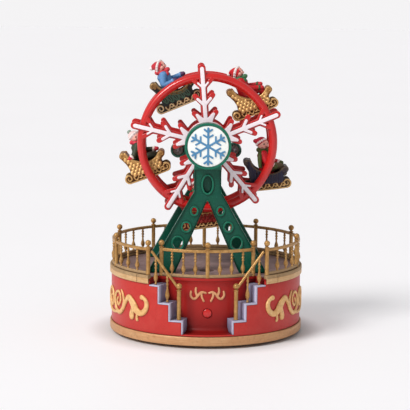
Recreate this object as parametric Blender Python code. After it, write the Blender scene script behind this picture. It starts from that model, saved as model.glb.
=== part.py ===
# Ferris wheel decoration: a drum base with stairs and railings carries two A-frames,
# and between them turns a double snowflake wheel with five hanging sleighs.
# Units are metres, +Z is up, the front of the drum faces -Y.
# The origin is on the table, in the middle of the drum.
# Compass angles are measured from the front (-Y) towards +X, clock angles from the top
# of the wheel, clockwise as seen from the front.

import math

import bmesh
import bpy
from mathutils import Matrix, Vector

MM = 0.001
FULL_TURN = 2 * math.pi
GAP = 0.3 * MM

# Drum
FOOT_HEIGHT = 3.3 * MM
FOOT_RADIUS = 6 * MM
FOOT_RING_RADIUS = 100 * MM
FOOT_CIRCLE = FOOT_RING_RADIUS - 16 * MM
FOOT_RING_INNER = FOOT_RING_RADIUS - 10 * MM
FOOT_RING_BOTTOM = 3 * MM
FOOT_RING_TOP = 12 * MM
COVER_RADIUS = FOOT_RING_INNER + 2 * MM
COVER_TOP = 6 * MM
WALL_RADIUS = FOOT_RING_RADIUS - 1.6 * MM
WALL_THICKNESS = 3 * MM
WALL_TOP = 64.7 * MM
BAND_RADIUS = FOOT_RING_RADIUS
BAND_INNER = BAND_RADIUS - 5.2 * MM
BAND_BOTTOM = 62 * MM
BAND_TOP = 70.5 * MM
DECK_TOP = 68 * MM
DECK_THICKNESS = 3 * MM
DECK_REBATE = 1.4 * MM
DECK_FRONT_RADIUS = WALL_RADIUS - 15.9 * MM
SOUND_HOLE_RADIUS = 8 * MM
SOUND_HOLE_Y = -36 * MM

# Recess and stairs
PANEL_RADIUS = DECK_FRONT_RADIUS - 3 * MM
PANEL_THICKNESS = 2.5 * MM
FLOOR_THICKNESS = 1.5 * MM
COVE_RADIUS = 5 * MM
TREAD_TOPS = [28 * MM, 45 * MM, 63 * MM]
RISER_ANGLES = [math.radians(a) for a in (15.2, 22.8, 29.6, 36.2)]
LIP = 1.5 * MM
RETURN_WALL_ANGLE = math.radians(1.8)

# Railings
POST_RADIUS = 2 * MM
BALL_RADIUS = 2.95 * MM
OUTER_RAIL_RADIUS = BAND_RADIUS - 3.6 * MM
FRONT_RAIL_RADIUS = DECK_FRONT_RADIUS - 1.7 * MM
OUTER_POST_ANGLE = math.radians(37.8)
FRONT_POST_ANGLE = math.radians(34.6)
OUTER_BALL_HEIGHT = 102.6 * MM
FRONT_BALL_HEIGHT = 103.7 * MM
TOP_RAIL_BELOW_BALL = 6.4 * MM
RAIL_HEIGHT = 3 * MM
RAIL_WIDTH = 2.8 * MM
BALUSTER_RADIUS = 1.75 * MM
BALUSTERS_PER_BAY = 3
STAIR_POST_RADIUS = WALL_RADIUS - 6.9 * MM
STAIR_POST_ANGLE = math.radians(16.6)
STAIR_BALL_HEIGHT = 61.8 * MM
STAIR_RAIL_RADIUS = 1.35 * MM
STAIR_RAIL_TOP = 99 * MM
STAIR_RAIL_BOTTOM = 58 * MM

# Wheel
AXIS_HEIGHT = 197.3 * MM
WHEEL_PHASE = math.radians(-4.6)
ARM_COUNT = 5
RING_RADIUS = 71.7 * MM
RING_INNER = 63 * MM
RING_BACK = 17 * MM
RING_FRONT = 23.3 * MM
PLATE_BACK = 20.4 * MM
PLATE_FRONT = 23.7 * MM
INLAY_THICKNESS = 1 * MM
ARM_HALF_WIDTH = 3.8 * MM
ARM_TIP = 79 * MM
HUB_PLATE_RADIUS = 23 * MM
PLATE_BASE_HALF = 7.2 * MM
INLAY_HALF_WIDTH = 2 * MM
INLAY_TIP = 76.4 * MM
INLAY_HUB_RADIUS = 22.5 * MM
INLAY_BASE_HALF = 6.6 * MM
PLATE_BARBS = [(21, 31, 11.1, 2.7), (38.6, 48.6, 9, 2.7), (55.6, 65, 9.4, 2.3)]
INLAY_BARBS = [(21.5, 29.3, 8.4, 1.5), (38.6, 45.4, 6.6, 1.4)]
AXLE_RADIUS = 2 * MM
AXLE_CLEARANCE = 0.15 * MM
HUB_TUBE_RADIUS = 7 * MM

# Sleighs
PIN_RADIUS = 1.2 * MM
PIN_CIRCLE = 67.4 * MM
PIN_SEAT = 3.2 * MM
FIRST_PIN_ANGLE = math.radians(-31)
SLEIGH_TILTS = [math.radians(a) for a in (23.5, 22, 7.3, 14, 24)]
SLEIGH_HALF_WIDTH = 12.5 * MM
SLEIGH_WALL = 2 * MM
EAR_RADIUS = 3.4 * MM

# Frames
FRAME_INNER = 45 * MM
FRAME_THICKNESS = 7 * MM
FRAME_BORDER = 2.4 * MM
FRAME_POCKET = 1.5 * MM
HUB_RADIUS = 22.3 * MM
HUB_FACE = 60 * MM
BACK_HUB_RADIUS = 17 * MM
MEDALLION_RADIUS = 20.6 * MM
MEDALLION_THICKNESS = 2 * MM
NECK_HALF_WIDTH = 13.7 * MM
NECK_BOTTOM = 150.6 * MM
CROTCH_HEIGHT = 142.5 * MM
FOOT_OUTER = 60.4 * MM
FOOT_INNER = 32.3 * MM
BUSH_RADIUS = 4 * MM
NECK_HOLE = (0, 158.1, 4.6, 8.6)
LEG_HOLES = [(13.4, 132.6, 2.6, 3.6), (21.2, 116.3, 3.6, 4.2), (29.9, 100.3, 4.9, 6)]
HOLE_RIM = 1.9 * MM

# Gear motor
CENTRE_DISTANCE = 8.6 * MM
WHEEL_TEETH = 24
PINION_TEETH = 8
ADDENDUM = 0.8
DEDENDUM = 1.1
BACKLASH = 0.25 * MM
FLANK_ANGLE = math.radians(22)
GEAR_FRONT = 29.8 * MM
GEAR_THICKNESS = 3 * MM
CASE_BELOW_AXIS = 13 * MM
CASE_FRONT = 28 * MM
CASE_RADIUS = 22 * MM
CASE_WALL = 1.5 * MM
EAR_SPACING = 29.6 * MM
LUG_RADIUS = 8 * MM
MOTOR_RADIUS = 5.8 * MM
MOTOR_SHAFT_RADIUS = 0.8 * MM

# Button and the parts behind the panel
BUTTON_HEIGHT = 32.2 * MM
BUTTON_RADIUS = 4.1 * MM
BUTTON_TRAVEL = 1.5 * MM
BUTTON_PROUD = 1.2 * MM
BUTTON_FLANGE = 6 * MM
BUTTON_RECESS_RADIUS = 5.4 * MM
BUTTON_RECESS_DEPTH = 1 * MM
BOARD_Y = 13.5 * MM - PANEL_RADIUS
BOARD_THICKNESS = 1.6 * MM
BOARD_WIDTH = 44 * MM
BOARD_BOTTOM = 18 * MM
BOARD_HEIGHT = 28 * MM
SPEAKER_RADIUS = 18 * MM
SPEAKER_DEPTH = 9 * MM
CELL_RADIUS = 7.2 * MM
CELL_LENGTH = 50.5 * MM
CELL_COUNT = 3
BAY_Y = 30 * MM

# Scrolls on the drum
SCROLL_HEIGHT = 1.5 * MM
SCROLL_SINK = 0.3 * MM

FLOOR_BOTTOM = FOOT_RING_TOP + GAP
FLOOR_TOP = FLOOR_BOTTOM + FLOOR_THICKNESS
WALL_INNER = WALL_RADIUS - WALL_THICKNESS
LANDING_ANGLE = RISER_ANGLES[-1]
LIP_ANGLE = LIP / WALL_RADIUS
FRAME_OUTER = FRAME_INNER + FRAME_THICKNESS
GEAR_MODULE = 2 * CENTRE_DISTANCE / (WHEEL_TEETH + PINION_TEETH)
CASE_HEIGHT = AXIS_HEIGHT - CASE_BELOW_AXIS
PINION_HEIGHT = AXIS_HEIGHT - CENTRE_DISTANCE


def clear_scene():
    for item in list(bpy.data.objects):
        bpy.data.objects.remove(item)


def material(name, colour, roughness, metallic=0.0):
    made = bpy.data.materials.new(name)
    made.use_nodes = True
    shader = made.node_tree.nodes["Principled BSDF"]
    shader.inputs["Base Color"].default_value = (*colour, 1)
    shader.inputs["Roughness"].default_value = roughness
    shader.inputs["Metallic"].default_value = metallic
    made.diffuse_color = (*colour, 1)
    return made


clear_scene()
RED = material("red_paint", (0.6, 0.03, 0.02), 0.3)
DRUM_RED = material("drum_red", (0.42, 0.05, 0.04), 0.4)
GREEN = material("green_paint", (0.01, 0.12, 0.08), 0.35)
GOLD_BAND = material("gold_band", (0.62, 0.4, 0.18), 0.4, 0.6)
ANTIQUE_GOLD = material("antique_gold", (0.38, 0.22, 0.07), 0.4, 0.7)
SLEIGH_GOLD = material("sleigh_gold", (0.45, 0.28, 0.1), 0.4, 0.6)
STAIR_GREY = material("stair_grey", (0.3, 0.3, 0.42), 0.5)
DECK_BROWN = material("deck_brown", (0.24, 0.17, 0.17), 0.6)
WHITE = material("white_paint", (0.85, 0.83, 0.83), 0.4)
STEEL = material("steel", (0.6, 0.6, 0.62), 0.3, 1)
BRASS = material("brass", (0.7, 0.5, 0.2), 0.35, 1)
BLACK = material("black_plastic", (0.02, 0.02, 0.02), 0.5)
BOARD_GREEN = material("board_green", (0.02, 0.2, 0.08), 0.5)
COAT_BLUE = material("coat_blue", (0.1, 0.25, 0.42), 0.5)
COAT_RED = material("coat_red", (0.5, 0.03, 0.04), 0.5)
COAT_GREEN = material("coat_green", (0.05, 0.12, 0.05), 0.5)
SLEIGH_GREEN = material("sleigh_green", (0.02, 0.05, 0.03), 0.4)
SLEIGH_NAVY = material("sleigh_navy", (0.02, 0.02, 0.06), 0.4)

helpers = bpy.data.collections.new("helpers")
bpy.context.scene.collection.children.link(helpers)


def on_drum(radius, angle, height):
    return Vector((radius * math.sin(angle), -radius * math.cos(angle), height))


def on_clock(radius, angle):
    return Vector((radius * math.sin(angle), 0, AXIS_HEIGHT + radius * math.cos(angle)))


def circle(radius, count, start=0.0, centre=(0, 0)):
    turns = [start + FULL_TURN * k / count for k in range(count)]
    return [(centre[0] + radius * math.cos(t), centre[1] + radius * math.sin(t)) for t in turns]


def tidy(bm, merge=1e-6):
    bmesh.ops.remove_doubles(bm, verts=bm.verts, dist=merge)
    bmesh.ops.dissolve_degenerate(bm, edges=bm.edges, dist=1e-7)
    bmesh.ops.recalc_face_normals(bm, faces=bm.faces)
    return bm


# Turns a closed (radius, height) outline about Z between two compass angles.
def spun(profile, start=0.0, end=FULL_TURN, steps=48):
    bm = bmesh.new()
    corners = [bm.verts.new(on_drum(r, start, z)) for r, z in profile]
    whole = math.isclose(end - start, FULL_TURN)
    edges = [bm.edges.new((a, b)) for a, b in zip(corners, corners[1:] + corners[:1])]
    shape = corners + edges
    if not whole:
        shape.append(bm.faces.new(corners))
    bmesh.ops.spin(bm, geom=shape, cent=(0, 0, 0), axis=(0, 0, 1), angle=end - start,
                   steps=steps, use_merge=whole)
    return tidy(bm)


# Turns an open (radius, height) line, which starts and ends on the axis, about Z.
def turned(line, steps=24):
    bm = bmesh.new()
    corners = [bm.verts.new((r, 0, z)) for r, z in line]
    edges = [bm.edges.new((a, b)) for a, b in zip(corners, corners[1:])]
    bmesh.ops.spin(bm, geom=corners + edges, cent=(0, 0, 0), axis=(0, 0, 1),
                   angle=FULL_TURN, steps=steps, use_merge=True)
    return tidy(bm)


# Extrudes an (x, z) outline along Y between two places.
def extruded(outline, front, back):
    bm = bmesh.new()
    face = bm.faces.new([bm.verts.new((x, front, z)) for x, z in outline])
    made = bmesh.ops.extrude_face_region(bm, geom=[face])["geom"]
    moved = [item for item in made if isinstance(item, bmesh.types.BMVert)]
    bmesh.ops.translate(bm, vec=(0, back - front, 0), verts=moved)
    return tidy(bm)


# Extrudes an (x, y) outline upwards.
def raised(outline, bottom, top):
    bm = bmesh.new()
    face = bm.faces.new([bm.verts.new((x, y, bottom)) for x, y in outline])
    made = bmesh.ops.extrude_face_region(bm, geom=[face])["geom"]
    moved = [item for item in made if isinstance(item, bmesh.types.BMVert)]
    bmesh.ops.translate(bm, vec=(0, 0, top - bottom), verts=moved)
    return tidy(bm)


# Draws an (angle, height) outline flat, extrudes it between two radii and bends it round the drum.
def bent(outline, inner, outer, step=math.radians(9)):
    bm = bmesh.new()
    face = bm.faces.new([bm.verts.new((angle, inner, z)) for angle, z in outline])
    made = bmesh.ops.extrude_face_region(bm, geom=[face])["geom"]
    moved = [item for item in made if isinstance(item, bmesh.types.BMVert)]
    bmesh.ops.translate(bm, vec=(0, outer - inner, 0), verts=moved)
    first = min(angle for angle, _ in outline)
    last = max(angle for angle, _ in outline)
    cuts = {round(angle, 6) for angle, _ in outline}
    cuts |= {round(first + k * step, 6) for k in range(1, int((last - first) / step) + 1)}
    for cut_at in sorted(cuts):
        bmesh.ops.bisect_plane(bm, geom=bm.verts[:] + bm.edges[:] + bm.faces[:], dist=1e-7,
                               plane_co=(cut_at, 0, 0), plane_no=(1, 0, 0))
    if math.isclose(last - first, FULL_TURN):
        ends = [f for f in bm.faces if abs(f.normal.x) > 0.9
                and (abs(f.calc_center_median().x - first) < 1e-6
                     or abs(f.calc_center_median().x - last) < 1e-6)]
        bmesh.ops.delete(bm, geom=ends, context="FACES_ONLY")
    for vertex in bm.verts:
        vertex.co = on_drum(vertex.co.y, vertex.co.x, vertex.co.z)
    return tidy(bm)


# A round tube along a line of points, with a radius at each point.
def tube(points, radii, sides=6):
    bm = bmesh.new()
    rings = []
    points = [Vector(p) for p in points]
    side = None
    for k, point in enumerate(points):
        ahead = (points[min(k + 1, len(points) - 1)] - points[max(k - 1, 0)]).normalized()
        if side is None:
            side = ahead.orthogonal()
        side = (side - ahead * side.dot(ahead)).normalized()
        other = ahead.cross(side)
        turns = [FULL_TURN * s / sides for s in range(sides)]
        rings.append([bm.verts.new(point + radii[k] * (side * math.cos(t) + other * math.sin(t)))
                      for t in turns])
    for low, high in zip(rings, rings[1:]):
        for s in range(sides):
            n = (s + 1) % sides
            bm.faces.new((low[s], low[n], high[n], high[s]))
    bm.faces.new(rings[0][::-1])
    bm.faces.new(rings[-1])
    return tidy(bm)


def box(low, high):
    bm = bmesh.new()
    bmesh.ops.create_cube(bm, size=1)
    size = [b - a for a, b in zip(low, high)]
    middle = [(a + b) / 2 for a, b in zip(low, high)]
    bmesh.ops.transform(bm, matrix=Matrix.Translation(middle) @ Matrix.Diagonal((*size, 1)), verts=bm.verts)
    return tidy(bm)


# Points a shape made about Z along the Y axis, its top towards -Y or, turned round, +Y.
def facing_front(bm, location=(0, 0, 0), backwards=False):
    turn = Matrix.Rotation(math.radians(-90 if backwards else 90), 4, "X")
    bmesh.ops.transform(bm, matrix=Matrix.Translation(location) @ turn, verts=bm.verts)
    return bm


def mirrored(bm, axis):
    bmesh.ops.scale(bm, vec=[-1 if k == axis else 1 for k in range(3)], verts=bm.verts)
    bmesh.ops.reverse_faces(bm, faces=bm.faces)
    return bm


def placed(name, bm, paint, location=(0, 0, 0), rotation=(0, 0, 0), parent=None):
    mesh = bpy.data.meshes.new(name)
    bm.to_mesh(mesh)
    bm.free()
    mesh.materials.append(paint)
    mesh.shade_smooth()
    mesh.set_sharp_from_angle(angle=math.radians(35))
    made = bpy.data.objects.new(name, mesh)
    made.location = location
    made.rotation_euler = rotation
    made.parent = parent
    bpy.context.scene.collection.objects.link(made)
    return made


def helper(name, bm, parent=None):
    mesh = bpy.data.meshes.new(name)
    bm.to_mesh(mesh)
    bm.free()
    made = bpy.data.objects.new(name, mesh)
    made.parent = parent
    made.hide_render = True
    made.display_type = "WIRE"
    helpers.objects.link(made)
    return made


def boolean(target, others, operation):
    group = bpy.data.collections.new(f"{target.name}_{operation.lower()}")
    helpers.children.link(group)
    for index, bm in enumerate(others):
        tool = helper(f"{target.name}_{operation.lower()}_{index}", bm)
        tool.matrix_world = target.matrix_world
        tool.parent = target.parent
        tool.location = target.location
        tool.rotation_euler = target.rotation_euler
        group.objects.link(tool)
    change = target.modifiers.new(operation.title(), "BOOLEAN")
    change.operation = operation
    change.operand_type = "COLLECTION"
    change.collection = group
    change.solver = "EXACT"


def cut(target, cutters):
    boolean(target, cutters, "DIFFERENCE")


def join(target, others):
    boolean(target, others, "UNION")


def empty(name, location, rotation=(0, 0, 0)):
    made = bpy.data.objects.new(name, None)
    made.location = location
    made.rotation_euler = rotation
    made.empty_display_size = 10 * MM
    bpy.context.scene.collection.objects.link(made)
    return made


# Drum


def foot_ring():
    bevel = 0.8 * MM
    ledge = COVER_TOP + GAP
    seat = COVER_RADIUS + GAP
    profile = [(seat, FOOT_RING_BOTTOM), (FOOT_RING_RADIUS, FOOT_RING_BOTTOM),
               (FOOT_RING_RADIUS, FOOT_RING_TOP - bevel), (FOOT_RING_RADIUS - bevel, FOOT_RING_TOP),
               (FOOT_RING_INNER, FOOT_RING_TOP), (FOOT_RING_INNER, ledge), (seat, ledge)]
    placed("foot_ring", spun(profile, steps=40), GOLD_BAND)


# The wall's top edge, from the middle of the back round to the front and on: it steps down
# with the stairs, and in front of the recess only a sill is left.
def wall_outline(clearance=0.0):
    line = [(LANDING_ANGLE, WALL_TOP)]
    tops = [top - LIP for top in reversed(TREAD_TOPS)] + [FLOOR_TOP]
    risers = list(reversed(RISER_ANGLES))
    for top, riser in zip(tops, risers):
        edge = riser + (LIP_ANGLE if top != tops[0] else 0) - clearance / WALL_RADIUS
        line += [(edge, line[-1][1]), (edge, top + clearance)]
    right = line[1:]
    left = [(-angle, z) for angle, z in reversed(right)]
    return right, left


def drum_shell():
    right, left = wall_outline()
    half = math.pi
    outline = [(-half, FLOOR_BOTTOM), (half, FLOOR_BOTTOM), (half, WALL_TOP), *right, *left, (-half, WALL_TOP)]
    placed("drum_shell", bent(outline, WALL_INNER, WALL_RADIUS), DRUM_RED)


def recess_outline(radius, wall_angle, outer):
    steps = 10
    turns = [wall_angle * (2 * k / steps - 1) for k in range(steps + 1)]
    arc = [on_drum(radius, t, 0).xy for t in turns]
    return [on_drum(outer, -wall_angle, 0).xy, *arc, on_drum(outer, wall_angle, 0).xy]


def front_panel():
    outer = WALL_INNER - GAP
    front = recess_outline(PANEL_RADIUS, LANDING_ANGLE, outer)
    back = recess_outline(PANEL_RADIUS - PANEL_THICKNESS, LANDING_ANGLE + RETURN_WALL_ANGLE, outer)
    panel = placed("front_panel", raised(front + back[::-1], FLOOR_BOTTOM, WALL_TOP), DRUM_RED)
    overlap = 1 * MM
    cove_steps = 3
    turns = [math.pi / 2 * k / cove_steps for k in range(cove_steps + 1)]
    cove = [(PANEL_RADIUS + COVE_RADIUS * (1 - math.sin(t)), FLOOR_TOP + COVE_RADIUS * (1 - math.cos(t)))
            for t in turns]
    floor = [(PANEL_RADIUS - overlap, FLOOR_BOTTOM + GAP), (outer - GAP, FLOOR_BOTTOM + GAP),
             (outer - GAP, FLOOR_TOP), *cove, (PANEL_RADIUS - overlap, FLOOR_TOP + COVE_RADIUS)]
    inside = LANDING_ANGLE + RETURN_WALL_ANGLE / 2
    join(panel, [spun(floor, -inside, inside, steps=10)])
    recess = turned([(0, -0.1), (BUTTON_RECESS_RADIUS, -0.1), (BUTTON_RECESS_RADIUS, 0), (0, 0)], 16)
    bore = BUTTON_RADIUS + GAP
    hole = turned([(0, -10 * MM), (bore, -10 * MM), (bore, 10 * MM), (0, 10 * MM)], 16)
    face = PANEL_RADIUS - BUTTON_RECESS_DEPTH
    cut(panel, [facing_front(recess, (0, -face, BUTTON_HEIGHT), backwards=True),
                facing_front(hole, (0, -PANEL_RADIUS, BUTTON_HEIGHT))])


def stairs(name, side):
    floor = FLOOR_TOP + GAP
    top_angle = LANDING_ANGLE - GAP / PANEL_RADIUS
    outline = [(RISER_ANGLES[0], floor), (top_angle, floor)]
    angle_after = top_angle
    for riser, top in zip(reversed(RISER_ANGLES[:-1]), reversed(TREAD_TOPS)):
        outline += [(angle_after, top), (riser, top)]
        angle_after = riser
    steps = bent(outline, PANEL_RADIUS + GAP, WALL_RADIUS + 0.2 * MM, math.radians(5))
    right, _ = wall_outline(GAP)
    below = right[1:] + [(RISER_ANGLES[0] - math.radians(3), FLOOR_TOP + GAP),
                         (RISER_ANGLES[0] - math.radians(3), 0), (LANDING_ANGLE + math.radians(3), 0),
                         (LANDING_ANGLE + math.radians(3), right[1][1])]
    skirt = bent(below, WALL_INNER - GAP, WALL_RADIUS + 5 * MM, math.radians(5))
    slope = PANEL_RADIUS + COVE_RADIUS + FLOOR_TOP + 1.5 * GAP
    low = FLOOR_TOP - 1 * MM
    near = PANEL_RADIUS - 1 * MM
    corner = [(near, low), (slope - low, low), (near, slope - near)]
    cove = spun(corner, 0, LANDING_ANGLE + math.radians(8), steps=10)
    if side < 0:
        steps, skirt, cove = mirrored(steps, 0), mirrored(skirt, 0), mirrored(cove, 0)
    flight = placed(name, steps, STAIR_GREY)
    cut(flight, [skirt, cove])


def deck():
    thin = DECK_TOP - DECK_REBATE
    edge = WALL_RADIUS - GAP
    inner = BAND_INNER - GAP
    bottom = DECK_TOP - DECK_THICKNESS
    profile = [(0, bottom), (edge, bottom), (edge, thin), (inner, thin), (inner, DECK_TOP), (0, DECK_TOP)]
    board = placed("deck", turned(profile, 36), DECK_BROWN)
    steps = 10
    turns = [LANDING_ANGLE * (2 * k / steps - 1) for k in range(steps + 1)]
    far = WALL_RADIUS * 1.5
    arc = [on_drum(DECK_FRONT_RADIUS, t, 0).xy for t in turns]
    notch = [on_drum(far, -LANDING_ANGLE, 0).xy, *arc, on_drum(far, LANDING_ANGLE, 0).xy]
    hole = raised(circle(SOUND_HOLE_RADIUS, 14, centre=(0, SOUND_HOLE_Y)), bottom - MM, DECK_TOP + MM)
    cut(board, [raised(notch, bottom - 5 * MM, DECK_TOP + 5 * MM), hole])


def deck_ring():
    seat = DECK_TOP - DECK_REBATE + GAP
    over = WALL_RADIUS + GAP
    profile = [(BAND_INNER, seat), (over, seat), (over, BAND_BOTTOM), (BAND_RADIUS, BAND_BOTTOM),
               (BAND_RADIUS, BAND_TOP), (BAND_INNER, BAND_TOP)]
    start = LANDING_ANGLE + GAP / BAND_RADIUS
    placed("deck_ring", spun(profile, start, FULL_TURN - start, steps=36), GOLD_BAND)


def feet():
    chamfer = 0.8 * MM
    line = [(0, 0), (FOOT_RADIUS - chamfer, 0), (FOOT_RADIUS, chamfer), (FOOT_RADIUS, FOOT_HEIGHT), (0, FOOT_HEIGHT)]
    first = placed("foot_1", turned(line, 10), BLACK, on_drum(FOOT_CIRCLE, math.radians(45), 0))
    for k in range(1, 4):
        copy = first.copy()
        copy.name = f"foot_{k + 1}"
        copy.location = on_drum(FOOT_CIRCLE, math.radians(45 + 90 * k), 0)
        bpy.context.scene.collection.objects.link(copy)


# Closure of the base and what it holds


def bay_size(wall=0.0):
    return CELL_LENGTH / 2 + 1 * MM + wall, CELL_COUNT * CELL_RADIUS + 1 * MM + wall


def bottom_cover():
    bottom = FOOT_HEIGHT + GAP
    disc = turned([(0, bottom), (COVER_RADIUS, bottom), (COVER_RADIUS, COVER_TOP), (0, COVER_TOP)], 32)
    cover = placed("bottom_cover", disc, BLACK)
    wall = 1.6 * MM
    x, y = bay_size()
    outer_x, outer_y = bay_size(wall)
    walls = box((-outer_x, BAY_Y - outer_y, bottom + MM), (outer_x, BAY_Y + outer_y, 2 * CELL_RADIUS))
    post = 3 * MM
    slot = BOARD_THICKNESS + 2 * GAP
    posts = []
    slots = []
    for side in (-1, 1):
        at = side * (BOARD_WIDTH / 2 - 2 * post)
        posts.append(box((at - post, BOARD_Y - post, bottom + MM), (at + post, BOARD_Y + post, BOARD_BOTTOM + 4 * MM)))
        slots.append(box((at - 2 * post, BOARD_Y - slot / 2, BOARD_BOTTOM - GAP),
                         (at + 2 * post, BOARD_Y + slot / 2, BOARD_BOTTOM + 10 * MM)))
    join(cover, [walls, *posts])
    ledge = 2 * MM
    door_top = bottom + 1.3 * MM
    cut(cover, [box((-x, BAY_Y - y, 0), (x, BAY_Y + y, 0.1)),
                box((-x - ledge, BAY_Y - y - ledge, 0), (x + ledge, BAY_Y + y + ledge, door_top)), *slots])


def battery_door():
    ledge = 2 * MM - GAP
    x, y = bay_size()
    bottom = FOOT_HEIGHT + GAP
    placed("battery_door", box((-x - ledge, BAY_Y - y - ledge, bottom), (x + ledge, BAY_Y + y + ledge, bottom + MM)), BLACK)


def battery_pack():
    spacing = 2 * CELL_RADIUS - 0.6 * MM
    height = FOOT_HEIGHT + 2 * GAP + MM + CELL_RADIUS
    rows = [(k - (CELL_COUNT - 1) / 2) * spacing for k in range(CELL_COUNT)]

    def cell(y):
        half = CELL_LENGTH / 2
        line = [(0, -half), (CELL_RADIUS, -half), (CELL_RADIUS, half), (0, half)]
        bm = turned(line, 10)
        turn = Matrix.Rotation(math.radians(90), 4, "Y") @ Matrix.Rotation(math.radians(18), 4, "Z")
        bmesh.ops.transform(bm, matrix=Matrix.Translation((0, y, 0)) @ turn, verts=bm.verts)
        return bm

    pack = placed("battery_pack", cell(rows[0]), GREEN, (0, BAY_Y, height))
    join(pack, [cell(y) for y in rows[1:]])


def circuit_board():
    half = BOARD_WIDTH / 2
    thick = BOARD_THICKNESS / 2
    placed("circuit_board", box((-half, BOARD_Y - thick, BOARD_BOTTOM), (half, BOARD_Y + thick, BOARD_BOTTOM + BOARD_HEIGHT)),
           BOARD_GREEN)


# The button's end, at rest, seen from the switch.
def button_rear():
    return -(PANEL_RADIUS - PANEL_THICKNESS) + 3.4 * MM


def button_switch():
    body = 3 * MM
    front = BOARD_Y - BOARD_THICKNESS / 2 - GAP
    face = front - 3.5 * MM
    switch = placed("button_switch", box((-body, face, BUTTON_HEIGHT - body), (body, front, BUTTON_HEIGHT + body)), BLACK)
    tip = button_rear() + BUTTON_TRAVEL + GAP
    stem = turned([(0, -MM), (1.5 * MM, -MM), (1.5 * MM, face - tip), (0, face - tip)], 12)
    join(switch, [facing_front(stem, (0, face, BUTTON_HEIGHT))])


def button():
    front = PANEL_RADIUS + BUTTON_PROUD
    flange_front = PANEL_RADIUS - PANEL_THICKNESS - 0.7 * MM
    flange_back = flange_front - 1.2 * MM
    dome = 1.6 * MM
    rear = -button_rear()
    steps = 3
    turns = [math.pi / 2 * k / steps for k in range(steps + 1)]
    cap = [(BUTTON_RADIUS * math.cos(t), front - dome + dome * math.sin(t)) for t in turns]
    line = [(0, rear), (BUTTON_RADIUS / 2, rear), (BUTTON_RADIUS / 2, flange_back), (BUTTON_FLANGE, flange_back),
            (BUTTON_FLANGE, flange_front), (BUTTON_RADIUS, flange_front), *cap[:-1], (0, front)]
    placed("button", facing_front(turned(line, 14)), RED, (0, 0, BUTTON_HEIGHT))


def speaker():
    top = DECK_TOP - DECK_THICKNESS - GAP
    bottom = top - SPEAKER_DEPTH
    rim = 2 * MM
    line = [(0, bottom), (SPEAKER_RADIUS * 0.45, bottom), (SPEAKER_RADIUS * 0.45, bottom + 4 * MM),
            (SPEAKER_RADIUS - rim, top - 1.5 * MM), (SPEAKER_RADIUS, top - 1.5 * MM), (SPEAKER_RADIUS, top),
            (SPEAKER_RADIUS - rim, top), (SPEAKER_RADIUS * 0.3, top - 3 * MM), (0, top - 2.2 * MM)]
    placed("speaker", turned(line, 14), BLACK, (0, SOUND_HOLE_Y, 0))


# Railings


def post_line(height):
    neck = POST_RADIUS * 0.6
    turns = [math.radians(angle) for angle in (-25, 25, 60)]
    knob = [(BALL_RADIUS * math.cos(t), height + BALL_RADIUS * math.sin(t)) for t in turns]
    low = height - BALL_RADIUS
    return [(0, 0), (POST_RADIUS, 0), (POST_RADIUS, low - MM), (neck, low), *knob, (0, height + BALL_RADIUS)]


def baluster_line(height):
    wide = BALUSTER_RADIUS
    shape = [(0.7, 0), (1.1, 0.22), (0.6, 1)]
    return [(0, 0), *[(wide * r, height * z) for r, z in shape], (0, height)]


def standing(line, steps, place):
    bm = turned(line, steps)
    bmesh.ops.translate(bm, vec=place, verts=bm.verts)
    return bm


def rail_profile(radius, middle):
    w = RAIL_WIDTH / 2
    h = RAIL_HEIGHT / 2
    return [(radius - w, middle - h), (radius + w, middle - h), (radius + w, middle + h), (radius - w, middle + h)]


# Posts at the given compass angles, with both rails and the balusters between them.
def railing(name, radius, base, ball_height, posts, ends=(True, True)):
    top_rail = ball_height - TOP_RAIL_BELOW_BALL
    low_rail = base + RAIL_HEIGHT / 2
    pieces = []
    standing_posts = list(posts)
    setback = (POST_RADIUS + GAP) / radius
    start, finish = posts[0], posts[-1]
    if not ends[0]:
        standing_posts = standing_posts[1:]
        start += setback
    if not ends[1]:
        standing_posts = standing_posts[:-1]
        finish -= setback
    for angle in standing_posts:
        pieces.append(standing(post_line(ball_height - base), 6, on_drum(radius, angle, base)))
    sink = 0.5 * MM
    bottom = low_rail + RAIL_HEIGHT / 2 - sink
    top = top_rail - RAIL_HEIGHT / 2 + sink
    for near, far in zip(posts, posts[1:]):
        for k in range(BALUSTERS_PER_BAY):
            angle = near + (far - near) * (k + 1) / (BALUSTERS_PER_BAY + 1)
            pieces.append(standing(baluster_line(top - bottom), 4, on_drum(radius, angle, bottom)))
    steps = 3 * (len(posts) - 1)
    rails = [spun(rail_profile(radius, middle), start, finish, steps) for middle in (low_rail, top_rail)]
    section = placed(name, rails[0], ANTIQUE_GOLD)
    join(section, [rails[1], *pieces])


def railings():
    front = FRONT_POST_ANGLE
    railing("railing_front", FRONT_RAIL_RADIUS, DECK_TOP + GAP, FRONT_BALL_HEIGHT, [-front, 0, front])
    base = BAND_TOP + GAP
    count = 8
    step = (FULL_TURN - 2 * OUTER_POST_ANGLE) / count
    angles = [OUTER_POST_ANGLE + k * step for k in range(count + 1)]
    sections = [("railing_right", angles[0:3], (True, True)), ("railing_back_right", angles[2:5], (False, True)),
                ("railing_back_left", angles[4:7], (False, False)), ("railing_left", angles[6:9], (True, True))]
    for name, posts, ends in sections:
        railing(name, OUTER_RAIL_RADIUS, base, OUTER_BALL_HEIGHT, posts, ends)


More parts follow.
